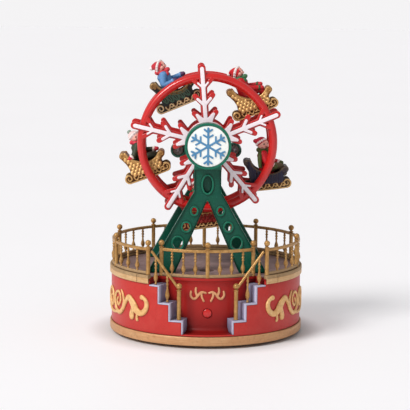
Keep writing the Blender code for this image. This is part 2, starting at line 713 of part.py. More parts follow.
def stair_rail(name, side):
    lower = on_drum(STAIR_POST_RADIUS, STAIR_POST_ANGLE, TREAD_TOPS[0] + GAP)
    upper = on_drum(OUTER_RAIL_RADIUS, OUTER_POST_ANGLE, 0)
    start = Vector((lower.x, lower.y, STAIR_RAIL_BOTTOM))
    end = Vector((upper.x, upper.y, STAIR_RAIL_TOP))
    flat = Vector((end.x - start.x, end.y - start.y, 0)).normalized()
    slope = (end - start).normalized()
    stop = end - slope * ((POST_RADIUS + 2 * GAP + STAIR_RAIL_RADIUS * slope.z) / slope.dot(flat))
    pieces = [tube([start, stop], [STAIR_RAIL_RADIUS] * 2, 6)]
    for top, share in ((TREAD_TOPS[1], 0.375), (TREAD_TOPS[2], 0.75)):
        foot = start.lerp(end, share)
        height = foot.z - top - GAP
        pieces.append(standing(baluster_line(height), 4, (foot.x, foot.y, top + GAP)))
    post = standing(post_line(STAIR_BALL_HEIGHT - lower.z), 6, lower)
    if side < 0:
        post = mirrored(post, 0)
        pieces = [mirrored(piece, 0) for piece in pieces]
    join(placed(name, post, ANTIQUE_GOLD), pieces)


# Frames


def ellipse(x, z, half_x, half_z, count=8):
    turns = [FULL_TURN * k / count for k in range(count)]
    return [(x + half_x * math.cos(t), z + half_z * math.sin(t)) for t in turns]


def frame_outline(hub_radius):
    foot = DECK_TOP + GAP
    drop = math.asin(NECK_HALF_WIDTH / hub_radius)
    steps = 20
    first = -math.pi / 2 + drop
    last = 1.5 * math.pi - drop
    arc = [(hub_radius * math.cos(first + (last - first) * k / steps),
            AXIS_HEIGHT + hub_radius * math.sin(first + (last - first) * k / steps)) for k in range(steps + 1)]
    return [(FOOT_INNER, foot), (FOOT_OUTER, foot), (NECK_HALF_WIDTH, NECK_BOTTOM), *arc,
            (-NECK_HALF_WIDTH, NECK_BOTTOM), (-FOOT_OUTER, foot), (-FOOT_INNER, foot), (0, CROTCH_HEIGHT)]


# The sunk field of the neck and legs, inside a raised border.
def frame_field(hub_radius):
    foot = DECK_TOP + GAP
    top = AXIS_HEIGHT - hub_radius - MM
    outline = [(FOOT_INNER, foot), (FOOT_OUTER, foot), (NECK_HALF_WIDTH, NECK_BOTTOM),
               (NECK_HALF_WIDTH, top), (-NECK_HALF_WIDTH, top), (-NECK_HALF_WIDTH, NECK_BOTTOM),
               (-FOOT_OUTER, foot), (-FOOT_INNER, foot), (0, CROTCH_HEIGHT)]
    bm = bmesh.new()
    face = bm.faces.new([bm.verts.new((x, 0, z)) for x, z in outline])
    bmesh.ops.inset_region(bm, faces=[face], thickness=FRAME_BORDER, use_even_offset=True)
    inner = [(v.co.x, v.co.z) for v in face.verts]
    bm.free()
    return inner


def frame_holes(neck=True):
    holes = LEG_HOLES + [(-x, z, a, b) for x, z, a, b in LEG_HOLES]
    if neck:
        holes.append(NECK_HOLE)
    return [tuple(value * MM for value in hole) for hole in holes]


# Sinks the front frame's field and leaves a raised rim round each hole.
def sink_field(plate, outer, hub_radius):
    floor = outer + FRAME_POCKET
    above = outer - 2 * MM
    pocket = helper("frame_field", extruded(frame_field(hub_radius), above, floor))
    islands = [extruded(ellipse(x, z, a + HOLE_RIM, b + HOLE_RIM), above - MM, floor + MM)
               for x, z, a, b in frame_holes()]
    cut(pocket, islands)
    sink = plate.modifiers.new("Field", "BOOLEAN")
    sink.operation = "DIFFERENCE"
    sink.object = pocket
    sink.solver = "EXACT"


def frame(name, side, hub_radius):
    outer = side * FRAME_OUTER
    inner = side * FRAME_INNER
    plate = placed(name, extruded(frame_outline(hub_radius), outer, inner), GREEN)
    if side < 0:
        radius = hub_radius + MM
        height = HUB_FACE - FRAME_INNER - MM
        boss = turned([(0, 0), (radius, 0), (radius, height), (0, height)], 28)
        join(plate, [facing_front(boss, (0, inner - MM, AXIS_HEIGHT))])
        sink_field(plate, outer, hub_radius)
    cutters = [extruded(ellipse(*hole), outer + side * 3 * MM, inner - side * 3 * MM)
               for hole in frame_holes(neck=side < 0)]
    bore = BUSH_RADIUS + GAP
    if side < 0:
        depth = HUB_FACE - FRAME_INNER - 3 * MM - MEDALLION_THICKNESS
        cutters.append(facing_front(turned([(0, -2 * MM), (bore, -2 * MM), (bore, depth), (0, depth)], 14),
                                    (0, inner, AXIS_HEIGHT)))
        seat = MEDALLION_RADIUS + GAP
        sunk = MEDALLION_THICKNESS + GAP
        cutters.append(facing_front(turned([(0, -sunk), (seat, -sunk), (seat, 3 * MM), (0, 3 * MM)], 28),
                                    (0, -HUB_FACE, AXIS_HEIGHT)))
    else:
        cutters.append(facing_front(turned([(0, -9 * MM), (bore, -9 * MM), (bore, 9 * MM), (0, 9 * MM)], 14),
                                    (0, (inner + outer) / 2, AXIS_HEIGHT)))
    cut(plate, cutters)


def medallion():
    line = [(0, 0), (MEDALLION_RADIUS, 0), (MEDALLION_RADIUS, MEDALLION_THICKNESS), (0, MEDALLION_THICKNESS)]
    placed("medallion", facing_front(turned(line, 28)), WHITE, (0, -HUB_FACE + MEDALLION_THICKNESS, AXIS_HEIGHT))


def bushes():
    inner = AXLE_RADIUS + AXLE_CLEARANCE
    front_depth = HUB_FACE - FRAME_INNER - 3 * MM - MEDALLION_THICKNESS - 2 * GAP
    for name, side, length in (("front_bush", -1, front_depth), ("back_bush", 1, FRAME_THICKNESS)):
        flange = 1 * MM
        lip = BUSH_RADIUS + 1.5 * MM
        profile = [(inner, -flange - GAP), (lip, -flange - GAP), (lip, -GAP), (BUSH_RADIUS, -GAP),
                   (BUSH_RADIUS, length), (inner, length)]
        if side > 0:
            profile = [(inner, 0), (BUSH_RADIUS, 0), (BUSH_RADIUS, length + GAP), (lip, length + GAP),
                       (lip, length + GAP + flange), (inner, length + GAP + flange)]
        bush = facing_front(spun(profile, steps=14), backwards=side > 0)
        placed(name, bush, BRASS, (0, side * FRAME_INNER, AXIS_HEIGHT))


# Wheel


# One edge of a snowflake arm in (along, across) millimetres: a straight stem with barbs that
# point outwards, each a root and a rounded tip, and a round end.
def arm_edge(half_width, tip, barbs, arc_steps):
    edge = []
    for root, along, across, half in barbs:
        length = math.hypot(along - root, across)
        ahead, aside = (along - root) / length, across / length
        near = (half_width - half * ahead) / aside
        far = (half_width + half * ahead) / aside
        edge.append((root - half * aside + near * ahead, half_width))
        middle = math.atan2(aside, ahead)
        for k in range(arc_steps + 1):
            t = middle + math.pi / 2 - math.pi * k / arc_steps
            edge.append((along + half * math.cos(t), across + half * math.sin(t)))
        edge.append((root + half * aside + far * ahead, half_width))
    centre = tip - half_width
    quarter = 1
    for k in range(quarter + 1):
        t = math.pi / 2 * (1 - k / quarter)
        edge.append((centre + half_width * math.cos(t), half_width * math.sin(t)))
    return edge


# The outline of the whole snowflake: each arm stands on the round hub with a wide base.
def star_outline(hub, base_half, half_width, tip, barbs, arc_steps=1):
    edge = [(a * MM, c * MM) for a, c in arm_edge(half_width / MM, tip / MM, barbs, arc_steps)[1:]]
    arm = [(a, -c) for a, c in edge] + [(a, c) for a, c in reversed(edge)][1:]
    lean = math.asin(base_half / hub)
    outline = []
    pitch = FULL_TURN / ARM_COUNT
    hub_steps = 2
    for k in range(ARM_COUNT):
        middle = k * pitch
        turn_from = middle + lean
        turn_to = middle + pitch - lean
        for a, c in arm:
            outline.append((a * math.sin(middle) + c * math.cos(middle), a * math.cos(middle) - c * math.sin(middle)))
        for s in range(hub_steps + 1):
            t = turn_from + (turn_to - turn_from) * s / hub_steps
            outline.append((hub * math.sin(t), hub * math.cos(t)))
    return outline


def wheel(name, side, axis):
    inner, outer = side * PLATE_BACK, side * PLATE_FRONT
    outline = star_outline(HUB_PLATE_RADIUS, PLATE_BASE_HALF, ARM_HALF_WIDTH, ARM_TIP, PLATE_BARBS)
    plate = extruded(outline, inner, outer)
    body = placed(name, plate, RED, parent=axis)
    chamfer = 2 * MM
    back, front = RING_BACK, RING_FRONT
    profile = [(RING_INNER, back), (RING_RADIUS, back), (RING_RADIUS, front - chamfer), (RING_RADIUS - chamfer, front),
               (RING_INNER + chamfer, front), (RING_INNER, front - chamfer)]
    ring = facing_front(spun(profile, steps=36), backwards=side > 0)
    join(body, [ring])
    bore = AXLE_RADIUS + GAP
    axle_hole = facing_front(turned([(0, -40 * MM), (bore, -40 * MM), (bore, 40 * MM), (0, 40 * MM)], 12))
    holes = [axle_hole]
    seat = PIN_RADIUS + 1.2 * GAP
    for k in range(ARM_COUNT):
        angle = FIRST_PIN_ANGLE - WHEEL_PHASE + k * FULL_TURN / ARM_COUNT
        place = (PIN_CIRCLE * math.sin(angle), side * RING_BACK, PIN_CIRCLE * math.cos(angle))
        line = [(0, -PIN_SEAT - GAP), (seat, -PIN_SEAT - GAP), (seat, 2 * MM), (0, 2 * MM)]
        holes.append(facing_front(turned(line, 6), place, backwards=side < 0))
    cut(body, holes)


def star(name, side, axis):
    seat = side * (PLATE_FRONT + GAP)
    front = seat + side * INLAY_THICKNESS
    outline = star_outline(INLAY_HUB_RADIUS, INLAY_BASE_HALF, INLAY_HALF_WIDTH, INLAY_TIP, INLAY_BARBS)
    inlay = placed(name, extruded(outline, seat, front), WHITE, parent=axis)
    bore = AXLE_RADIUS + GAP
    cut(inlay, [facing_front(turned([(0, -40 * MM), (bore, -40 * MM), (bore, 40 * MM), (0, 40 * MM)], 12))])


def hub_tube(axis):
    half = PLATE_BACK - GAP
    bore = AXLE_RADIUS + GAP
    profile = [(bore, -half), (HUB_TUBE_RADIUS, -half), (HUB_TUBE_RADIUS, half), (bore, half)]
    placed("hub_tube", facing_front(spun(profile, steps=16)), RED, parent=axis)


def axle(axis):
    front = HUB_FACE - MEDALLION_THICKNESS - 3 * MM - GAP - 3 * GAP
    back = -FRAME_OUTER + MM
    line = [(0, back), (AXLE_RADIUS, back), (AXLE_RADIUS, front), (0, front)]
    placed("axle", facing_front(turned(line, 12)), STEEL, parent=axis)


# A closed gear outline; its first tooth points up.
def gear_outline(teeth, turn=0.0):
    pitch_radius = GEAR_MODULE * teeth / 2
    half = math.pi * GEAR_MODULE / 4 - BACKLASH / 2
    root, tip = pitch_radius - DEDENDUM * GEAR_MODULE, pitch_radius + ADDENDUM * GEAR_MODULE
    outline = []
    for k in range(teeth):
        for side, r in ((-1, root), (-1, tip), (1, tip), (1, root)):
            width = half - (r - pitch_radius) * math.tan(FLANK_ANGLE)
            angle = turn + FULL_TURN * k / teeth + side * width / r
            outline.append((r * math.sin(angle), r * math.cos(angle)))
    return outline


def drive_gear():
    back = GEAR_FRONT + GEAR_THICKNESS
    gear = placed("drive_gear", extruded(gear_outline(WHEEL_TEETH), GEAR_FRONT, back), BRASS, (0, 0, AXIS_HEIGHT))
    bore = AXLE_RADIUS + GAP
    cut(gear, [facing_front(turned([(0, -90 * MM), (bore, -90 * MM), (bore, 90 * MM), (0, 90 * MM)], 12))])


def motor_pinion():
    back = GEAR_FRONT + GEAR_THICKNESS
    turn = math.pi / PINION_TEETH
    pinion = placed("motor_pinion", extruded(gear_outline(PINION_TEETH, turn), GEAR_FRONT, back), BRASS, (0, 0, PINION_HEIGHT))
    length = 4 * MM
    shaft = turned([(0, -MM), (MOTOR_SHAFT_RADIUS, -MM), (MOTOR_SHAFT_RADIUS, length), (0, length)], 10)
    join(pinion, [facing_front(shaft, (0, back, 0), backwards=True)])


def motor():
    front = GEAR_FRONT + GEAR_THICKNESS + GAP
    back = FRAME_INNER - GAP - CASE_WALL - GAP
    profile = [(0, -back), (MOTOR_RADIUS, -back), (MOTOR_RADIUS, -front), (0, -front)]
    can = placed("motor", facing_front(turned(profile, 14)), STEEL, (0, 0, PINION_HEIGHT))
    bore = MOTOR_SHAFT_RADIUS + AXLE_CLEARANCE
    depth = 4 * MM + GAP
    cut(can, [facing_front(turned([(0, -depth), (bore, -depth), (bore, 2 * MM), (0, 2 * MM)], 10), (0, front, 0))])


def gear_case():
    back = FRAME_INNER - GAP
    front = CASE_FRONT + CASE_WALL + GAP
    disc = turned([(0, -back), (CASE_RADIUS, -back), (CASE_RADIUS, -front), (0, -front)], 22)
    case = placed("gear_case", facing_front(disc), GREEN, (0, 0, CASE_HEIGHT))
    lugs = []
    recesses = []
    lug_front = -(back - 9 * MM)
    for side in (-1, 1):
        lug = turned([(0, -back), (LUG_RADIUS, -back), (LUG_RADIUS, lug_front), (0, lug_front)], 12)
        lugs.append(facing_front(lug, (side * EAR_SPACING, 0, 0)))
        hollow = LUG_RADIUS - 2 * MM
        recess = turned([(0, lug_front - 5 * MM), (hollow, lug_front - 5 * MM), (hollow, lug_front + 5 * MM),
                         (0, lug_front + 5 * MM)], 12)
        recesses.append(facing_front(recess, (side * EAR_SPACING, 0, 0)))
    join(case, lugs)
    inside = CASE_RADIUS - CASE_WALL
    room = turned([(0, -back + CASE_WALL), (inside, -back + CASE_WALL), (inside, 0), (0, 0)], 22)
    bore = AXLE_RADIUS + 3 * GAP
    hole = turned([(0, -0.1), (bore, -0.1), (bore, 0), (0, 0)], 10)
    cut(case, [facing_front(room), facing_front(hole, (0, 0, CASE_BELOW_AXIS)), *recesses])


def gear_case_cover():
    disc = turned([(0, -CASE_FRONT - CASE_WALL), (CASE_RADIUS, -CASE_FRONT - CASE_WALL), (CASE_RADIUS, -CASE_FRONT),
                   (0, -CASE_FRONT)], 22)
    cover = placed("gear_case_cover", facing_front(disc), GREEN, (0, 0, CASE_HEIGHT))
    bore = AXLE_RADIUS + 3 * GAP
    cut(cover, [facing_front(turned([(0, -0.1), (bore, -0.1), (bore, 0.1), (0, 0.1)], 10), (0, 0, CASE_BELOW_AXIS))])


# Sleighs, drawn in millimetres about the pin, facing +X


def arc_points(centre, radius, start, end, steps):
    turns = [math.radians(start + (end - start) * k / steps) for k in range(steps + 1)]
    return [(centre[0] + radius * math.cos(t), centre[1] + radius * math.sin(t)) for t in turns]


BACK_CURL = (-19.6, 7.2)
FRONT_CURL = (18.8, -3.2)
CURL_RADIUS = 3.4
RUNNER_BOTTOM = -23
RUNNER_THICK = 2.2


def sleigh_side():
    back = arc_points(BACK_CURL, CURL_RADIUS, 20, 230, 3)
    front = arc_points(FRONT_CURL, CURL_RADIUS, -60, 160, 3)
    return [*back, (-17.4, -2), (-15.2, -9), (-15.4, -16.5), (-12, -19.5), (12, -19.5), (15.6, -16.5), (16.2, -10),
            *front, (10.5, -6), (1.8, -7.3), (-8.4, -3)]


def runner_outline():
    front = arc_points((18.6, -18), 5, -90, 120, 4)
    inner_front = arc_points((18.6, -18), 5 - RUNNER_THICK, 120, -90, 3)
    back = arc_points((-22.5, -18.4), 4.6, 100, 270, 3)
    inner_back = arc_points((-22.5, -18.4), 4.6 - RUNNER_THICK, 270, 100, 2)
    return [*back, *front, *inner_front, *inner_back]


def in_mm(outline):
    return [(x * MM, z * MM) for x, z in outline]


def sleigh(index, pivot, paint):
    half = SLEIGH_HALF_WIDTH
    body = placed(f"sleigh_{index}", extruded(in_mm(sleigh_side()), -half, half), paint, parent=pivot)
    added = []
    for side in (-1, 1):
        outside, inside = side * half * 0.96, side * (half - 2.4 * MM)
        added.append(extruded(in_mm(runner_outline()), outside, inside))
        ear = [(-3.4, -8.5), (3.4, -8.5), *arc_points((0, 0), EAR_RADIUS / MM, 0, 180, 3)]
        added.append(extruded(in_mm(ear), side * (half + 0.4 * MM), side * (half - SLEIGH_WALL)))
    stretchers = [(-13, -19), (11, -19)]
    for x, z in stretchers:
        added.append(box(((x - 1.6) * MM, -half * 0.9, (RUNNER_BOTTOM + 0.8) * MM), ((x + 1.6) * MM, half * 0.9, (z + 1) * MM)))
    join(body, added)
    wall = half - SLEIGH_WALL
    seat = [(-12.6, 20), (-12.6, 0), (-11.8, -8.5), (-3, -9.5), (-1, -16.8), (12.4, -16.8), (13.2, -8), (13.8, 20)]
    pin = PIN_RADIUS + 1.5 * GAP
    hole = turned([(0, -50 * MM), (pin, -50 * MM), (pin, 50 * MM), (0, 50 * MM)], 6)
    cut(body, [extruded(in_mm(seat), -wall, wall), facing_front(hole)])


def figure(index, pivot, paint):
    torso_line = [(0, -9), (6, -8), (6.2, -3), (5, 8), (5.4, 14.4), (3.6, 18), (0, 18.4)]
    torso = turned([(r * MM, z * MM) for r, z in torso_line], 7)
    lean = Matrix.Translation((-4.6 * MM, 0, 0.3 * MM)) @ Matrix.Rotation(math.radians(4), 4, "Y")
    bmesh.ops.transform(torso, matrix=lean, verts=torso.verts)
    body = placed(f"figure_{index}", torso, paint, parent=pivot)
    head = [(-3.6, 15, 2.6), (-3.2, 19.6, 4.6), (-2.6, 23.6, 5.1), (-3.2, 27.2, 4.8), (-5.2, 29.6, 3), (-7.2, 30.2, 1.2), (-8.2, 30.4, 2), (-9.6, 30.4, 1)]
    pieces = [tube([(x * MM, 0, z * MM) for x, z, _ in head], [r * MM for _, _, r in head], 7)]
    for side in (-1, 1):
        arm = [(-4.6, side * 4.4, 13), (-2.5, side * 6.6, 7.5), (2.5, side * 5.8, 3.4), (7.2, side * 3.8, 3.6)]
        pieces.append(tube([tuple(v * MM for v in p) for p in arm], [2.4 * MM, 2.6 * MM, 2.2 * MM, 1.8 * MM], 4))
        leg = [(-4, side * 3, -6.2), (3, side * 3.4, -5.6), (8.6, side * 3.4, -6.4), (10.4, side * 3.4, -12)]
        pieces.append(tube([tuple(v * MM for v in p) for p in leg], [2.9 * MM, 2.8 * MM, 2.2 * MM, 1.8 * MM], 4))
    join(body, pieces)
    pin = PIN_RADIUS + 1.5 * GAP
    hole = turned([(0, -50 * MM), (pin, -50 * MM), (pin, 50 * MM), (0, 50 * MM)], 6)
    cut(body, [facing_front(hole)])


def hanging_sleighs():
    paints = [SLEIGH_GREEN, SLEIGH_GOLD, SLEIGH_NAVY, SLEIGH_GOLD, SLEIGH_GOLD]
    coats = [COAT_BLUE, COAT_RED, COAT_RED, COAT_RED, COAT_GREEN]
    reach = RING_BACK + PIN_SEAT
    for k in range(ARM_COUNT):
        place = on_clock(PIN_CIRCLE, FIRST_PIN_ANGLE + k * FULL_TURN / ARM_COUNT)
        pivot = empty(f"sleigh_pivot_{k + 1}", place, (0, -SLEIGH_TILTS[k], 0))
        pin = turned([(0, -reach), (PIN_RADIUS, -reach), (PIN_RADIUS, reach), (0, reach)], 12)
        placed(f"sleigh_pin_{k + 1}", facing_front(pin), STEEL, parent=pivot)
        sleigh(k + 1, pivot, paints[k])
        figure(k + 1, pivot, coats[k])


# Scrolls


# A flat ribbon with a ridge, along points given as (compass angle, height), on the drum's face.
def scroll_stroke(points, widths, radius):
    bm = bmesh.new()
    rows = []
    for k, (angle, z) in enumerate(points):
        before = points[max(k - 1, 0)]
        after = points[min(k + 1, len(points) - 1)]
        along = Vector(((after[0] - before[0]) * radius, after[1] - before[1])).normalized()
        across = Vector((-along.y, along.x)) * widths[k] / 2
        left = (angle + across.x / radius, z + across.y)
        right = (angle - across.x / radius, z - across.y)
        low = radius + SCROLL_SINK
        high = radius + SCROLL_HEIGHT
        rows.append([bm.verts.new(on_drum(r, *p)) for r, p in
                     ((low, left), (high, (angle, z)), (low, right))])
    for near, far in zip(rows, rows[1:]):
        for s in range(3):
            n = (s + 1) % 3
            bm.faces.new((near[s], near[n], far[n], far[s]))
    bm.faces.new(rows[0][::-1])
    bm.faces.new(rows[-1])
    return tidy(bm)


# Strokes in (degrees of compass angle, height in millimetres, width in millimetres), right-hand side
WALL_STROKES = [
    [(40, 48.5, 2.6), (38.2, 45, 3), (37.6, 40, 3.4), (38.8, 34, 3.8), (42, 30, 4.6), (45, 32, 5.2),
     (47.2, 37.5, 5.6), (49.8, 43.2, 5), (53.2, 45.2, 3.4), (56, 38.8, 2.8), (59.4, 30.6, 3.4), (63.3, 26.2, 3.6),
     (67.8, 28.6, 3), (70.2, 36, 2.6), (68.8, 44.2, 2.4), (65, 47.4, 2.2), (62.3, 43.6, 2), (62.4, 37.4, 1.9),
     (65, 33.4, 1.9), (67, 37, 1.8), (65.6, 40.6, 1.8)],
    [(48.6, 41, 5), (49.6, 33, 4.6), (49.4, 27.6, 4.6), (49.6, 24.6, 2.4)],
    [(44.2, 31, 3), (45.4, 27, 2.8), (45, 23.2, 2)],
    [(59.6, 31, 2.6), (58, 39, 2.4), (59, 45.4, 2.2), (61, 49.6, 1.4)],
    [(64.4, 26.6, 2.4), (72, 24.4, 2.4), (79, 25.4, 2.6), (84.4, 31.5, 2.8), (85, 40, 2.8), (81, 47, 2.6),
     (76, 47, 2.6), (73.3, 41, 2.6), (73.5, 34, 2.4), (76.6, 30.4, 2.2), (80, 33.6, 2), (80, 38.4, 1.8), (77.8, 40.2, 1.6)],
]
PANEL_STROKES = [
    [(11.8, 53.9, 1.4), (12.1, 50.4, 1.5), (10.7, 47.3, 1.6), (8.7, 47.1, 1.7), (7, 49.6, 1.8), (5.5, 52.3, 1.7),
     (3.6, 53.7, 1.6), (1.2, 52.9, 1.3)],
    [(7.4, 50.2, 1.6), (8.4, 54.2, 1.6), (8.2, 57.7, 1.4)],
    [(4.2, 53.2, 1.4), (4, 49.1, 1.5), (2.6, 44.8, 1.3)],
]


def scroll(name, side, strokes, radius):
    pieces = []
    for stroke in strokes:
        points = [(math.radians(angle), z * MM) for angle, z, _ in stroke]
        piece = scroll_stroke(points, [width * MM for _, _, width in stroke], radius)
        pieces.append(mirrored(piece, 0) if side < 0 else piece)
    made = placed(name, pieces[0], GOLD_BAND)
    join(made, pieces[1:])


def scrolls():
    for side, hand in ((-1, "left"), (1, "right")):
        scroll(f"wall_scroll_{hand}", side, WALL_STROKES, WALL_RADIUS)
        scroll(f"panel_scroll_{hand}", side, PANEL_STROKES, PANEL_RADIUS)


def build():
    foot_ring()
    drum_shell()
    front_panel()
    stairs("stairs_left", -1)
    stairs("stairs_right", 1)
    deck()
    deck_ring()
    feet()
    bottom_cover()
    battery_door()
    battery_pack()
    circuit_board()
    button_switch()
    button()
    speaker()
    railings()
    stair_rail("stair_rail_left", -1)
    stair_rail("stair_rail_right", 1)
    frame("front_frame", -1, HUB_RADIUS)
    frame("back_frame", 1, BACK_HUB_RADIUS)
    medallion()
    bushes()
    axis = empty("wheel_axis", (0, 0, AXIS_HEIGHT), (0, WHEEL_PHASE, 0))
    wheel("front_wheel", -1, axis)
    wheel("back_wheel", 1, axis)
    star("front_star", -1, axis)
    star("back_star", 1, axis)
    hub_tube(axis)
    axle(axis)
    drive_gear()
    motor_pinion()
    motor()
    gear_case()
    gear_case_cover()
    hanging_sleighs()
    scrolls()


build()
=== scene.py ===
import math

import bmesh
import bpy
import numpy as np
from mathutils import Matrix, Vector
from mathutils.bvhtree import BVHTree


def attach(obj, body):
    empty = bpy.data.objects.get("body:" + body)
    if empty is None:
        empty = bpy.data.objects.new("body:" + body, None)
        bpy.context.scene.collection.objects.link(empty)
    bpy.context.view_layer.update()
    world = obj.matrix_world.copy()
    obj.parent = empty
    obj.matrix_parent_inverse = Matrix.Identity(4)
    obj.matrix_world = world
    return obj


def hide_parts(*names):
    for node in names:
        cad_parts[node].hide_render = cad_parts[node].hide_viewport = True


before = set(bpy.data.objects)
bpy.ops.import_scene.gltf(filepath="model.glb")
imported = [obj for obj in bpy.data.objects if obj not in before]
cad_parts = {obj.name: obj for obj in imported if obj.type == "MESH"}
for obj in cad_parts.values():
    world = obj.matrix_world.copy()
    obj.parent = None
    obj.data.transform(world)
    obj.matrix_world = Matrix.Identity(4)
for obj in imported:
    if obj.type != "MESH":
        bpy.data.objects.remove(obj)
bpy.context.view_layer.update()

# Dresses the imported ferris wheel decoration: a red drum with stairs and golden railings,
# two green frames, a double snowflake wheel and five sleighs with their riders.
# Shapes are drawn in millimetres and become metres when a piece is made.
# +Z is up and the front of the drum faces -Y. Compass angles run from the front towards +X.

mm = 0.001
fullTurn = 2 * math.pi
rad = math.radians
axisHeight = 197.3
wheelTurn = rad(-4.6)
play = 0.3  # between pieces set against each other
hands = ((-1, "left"), (1, "right"))
finishes = {}
scene = bpy.context.scene


# A colour as mixed on screen, 0 to 255, made linear; how golden it is goes into its alpha
def paint(red, green, blue, gilt=1.0):
    linear = [((v / 255 + 0.055) / 1.055) ** 2.4 if v > 10 else v / 255 / 12.92 for v in (red, green, blue)]
    return (*linear, gilt)


# Wraps a shader socket, so that shader maths can be written as plain expressions
class Wire:
    def __init__(self, nodes, socket):
        self.nodes = nodes
        self.socket = socket

    def maths(self, operation, *values):
        return self.nodes.node("ShaderNodeMath", {"operation": operation}, dict(enumerate(values)))

    def __add__(self, other):
        return self.maths("ADD", self, other)

    def __rsub__(self, other):
        return self.maths("SUBTRACT", other, self)

    def __mul__(self, other):
        return self.maths("MULTIPLY", self, other)

    __radd__ = __add__
    __rmul__ = __mul__

    def bigger(self, other):
        return self.maths("MAXIMUM", self, other)

    # 0 below low, 1 above high, and a soft step between
    def step(self, low, high):
        settings = {"interpolation_type": "SMOOTHSTEP"}
        return self.nodes.node("ShaderNodeMapRange", settings, {0: self, 1: low, 2: high, 3: 0.0, 4: 1.0})


# The shader nodes of a material or of the world
class Nodes:
    def __init__(self, owner):
        owner.use_nodes = True
        self.tree = owner.node_tree

    def join(self, value, socket):
        if isinstance(value, Wire):
            self.tree.links.new(value.socket, socket)
        else:
            socket.default_value = value

    def node(self, kind, settings=None, inputs=None, output=0):
        made = self.tree.nodes.new(kind)
        for key, value in (settings or {}).items():
            setattr(made, key, value)
        for key, value in (inputs or {}).items():
            self.join(value, made.inputs[key])
        return Wire(self, made.outputs[output])


# One procedural material: its nodes, and the sockets of its shader
class Finish(Nodes):
    def __init__(self, name, **sockets):
        self.material = bpy.data.materials.new(name)
        super().__init__(self.material)
        self.shader = self.tree.nodes["Principled BSDF"]
        self.place = self.node("ShaderNodeTexCoord", output="Object")
        self.set(**sockets)
        finishes[name] = self

    # Socket names without their spaces: baseColor is Base Color
    def set(self, **sockets):
        known = {socket.name.replace(" ", "").lower(): socket for socket in self.shader.inputs}
        for key, value in sockets.items():
            self.join(value, known[key.lower()])

    def noise(self, size, detail=4.0, rough=0.55, stretch=None):
        place = self.place
        if stretch:
            place = self.node("ShaderNodeMapping", {}, {"Vector": place, "Scale": stretch})
        inputs = {"Vector": place, "Scale": 1 / (size * mm), "Detail": detail, "Roughness": rough}
        return self.node("ShaderNodeTexNoise", {}, inputs)

    # Three numbers are a colour as mixed on screen, four are a linear one
    def mix(self, factor, *colours):
        first, second = (paint(*c) if isinstance(c, tuple) and len(c) == 3 else c for c in colours)
        return self.node("ShaderNodeMix", {"data_type": "RGBA"}, {0: factor, 6: first, 7: second}, output=2)

    # Painted shade: 1 in a corner or under an edge, where ambient occlusion finds shade, 0 in the open
    def corner(self, reach, low=0.3, high=0.95):
        inputs = {"Distance": reach * mm}
        light = self.node("ShaderNodeAmbientOcclusion", {"samples": 6}, inputs, output="AO")
        return 1 - light.step(low, high)

    def attribute(self, name, output="Fac"):
        return self.node("ShaderNodeAttribute", {"attribute_name": name}, output=output)

    def axis(self, letter, vector=None):
        return self.node("ShaderNodeSeparateXYZ", {}, {0: vector or self.place}, output="XYZ".index(letter))

    def radius(self):
        flat = self.node("ShaderNodeVectorMath", {"operation": "MULTIPLY"}, {0: self.place, 1: (1, 1, 0)})
        return self.node("ShaderNodeVectorMath", {"operation": "LENGTH"}, {0: flat}, output="Value")

    def finished(self, colour, roughness, height, depth):
        relief = self.node("ShaderNodeBump", {}, {"Height": height, "Distance": depth * mm}, output="Normal")
        self.set(baseColor=colour, roughness=roughness, normal=relief)


print("finishes")


# Moulded plastic or paint: darker in faint clouds, with painted shade in its corners and a fine orange peel
def paintedFinish(name, base, shade, light, roughness=0.4, coat=0.15, reach=1.2, peel=0.03, shine=0.3):
    made = Finish(name, coatWeight=coat, coatRoughness=0.12, specularIorLevel=shine)
    clouds, fine = made.noise(14, 3), made.noise(1.6)
    body = made.mix(clouds.step(0.35, 0.7) * 0.32, base, light)
    body = made.mix(fine.step(0.45, 0.75) * 0.16, body, shade)
    # Painted shade in corners and under edges
    body = made.mix(made.corner(reach, 0.35, 0.92) * 0.75, body, shade)
    made.finished(body, fine * 0.12 + clouds * 0.1 + (roughness - 0.1), fine * 0.6 + clouds, peel)


# Gold paint, paler in streaks and clouds and darker in random patches, with painted shade in its hollows and
# corners
def giltFinish(name, base, shade, light, metallic=0.2, roughness=0.42, reach=1.5, grain=None, streak=0.35):
    made = Finish(name, metallic=metallic, specularIorLevel=0.35)
    streaks, clouds = made.noise(2.4, 5, 0.6, grain), made.noise(9, 2)
    corner = made.corner(reach)
    body = made.mix(streaks.step(0.35, 0.72) * streak + clouds.step(0.4, 0.75) * 0.25, base, light)
    body = made.mix(made.noise(3.2).step(0.5, 0.72) * 0.3, body, shade)
    # Painted shade in hollows and corners
    body = made.mix(corner * 0.85, body, shade)
    made.finished(body, streaks * 0.22 + corner * 0.25 + (roughness - 0.08), streaks + clouds * 0.5, 0.05)


def bareMetal(name, base, shade, roughness):
    made = Finish(name, metallic=0.95)
    lines, stains = made.noise(0.8, 4, 0.6, (1, 1, 6)), made.noise(5, 3)
    body = made.mix(stains.step(0.45, 0.75) * 0.5, base, shade)
    made.finished(body, lines * 0.2 + stains * 0.12 + (roughness - 0.12), lines, 0.01)


def plasticFinish(name, base, light, roughness):
    made = Finish(name)
    grain, clouds = made.noise(0.35, 3), made.noise(18, 3)
    body = made.mix(clouds.step(0.35, 0.75) * 0.45 + grain * 0.15, base, light)
    made.finished(body, grain * 0.2 + clouds * 0.12 + (roughness - 0.16), grain, 0.02)


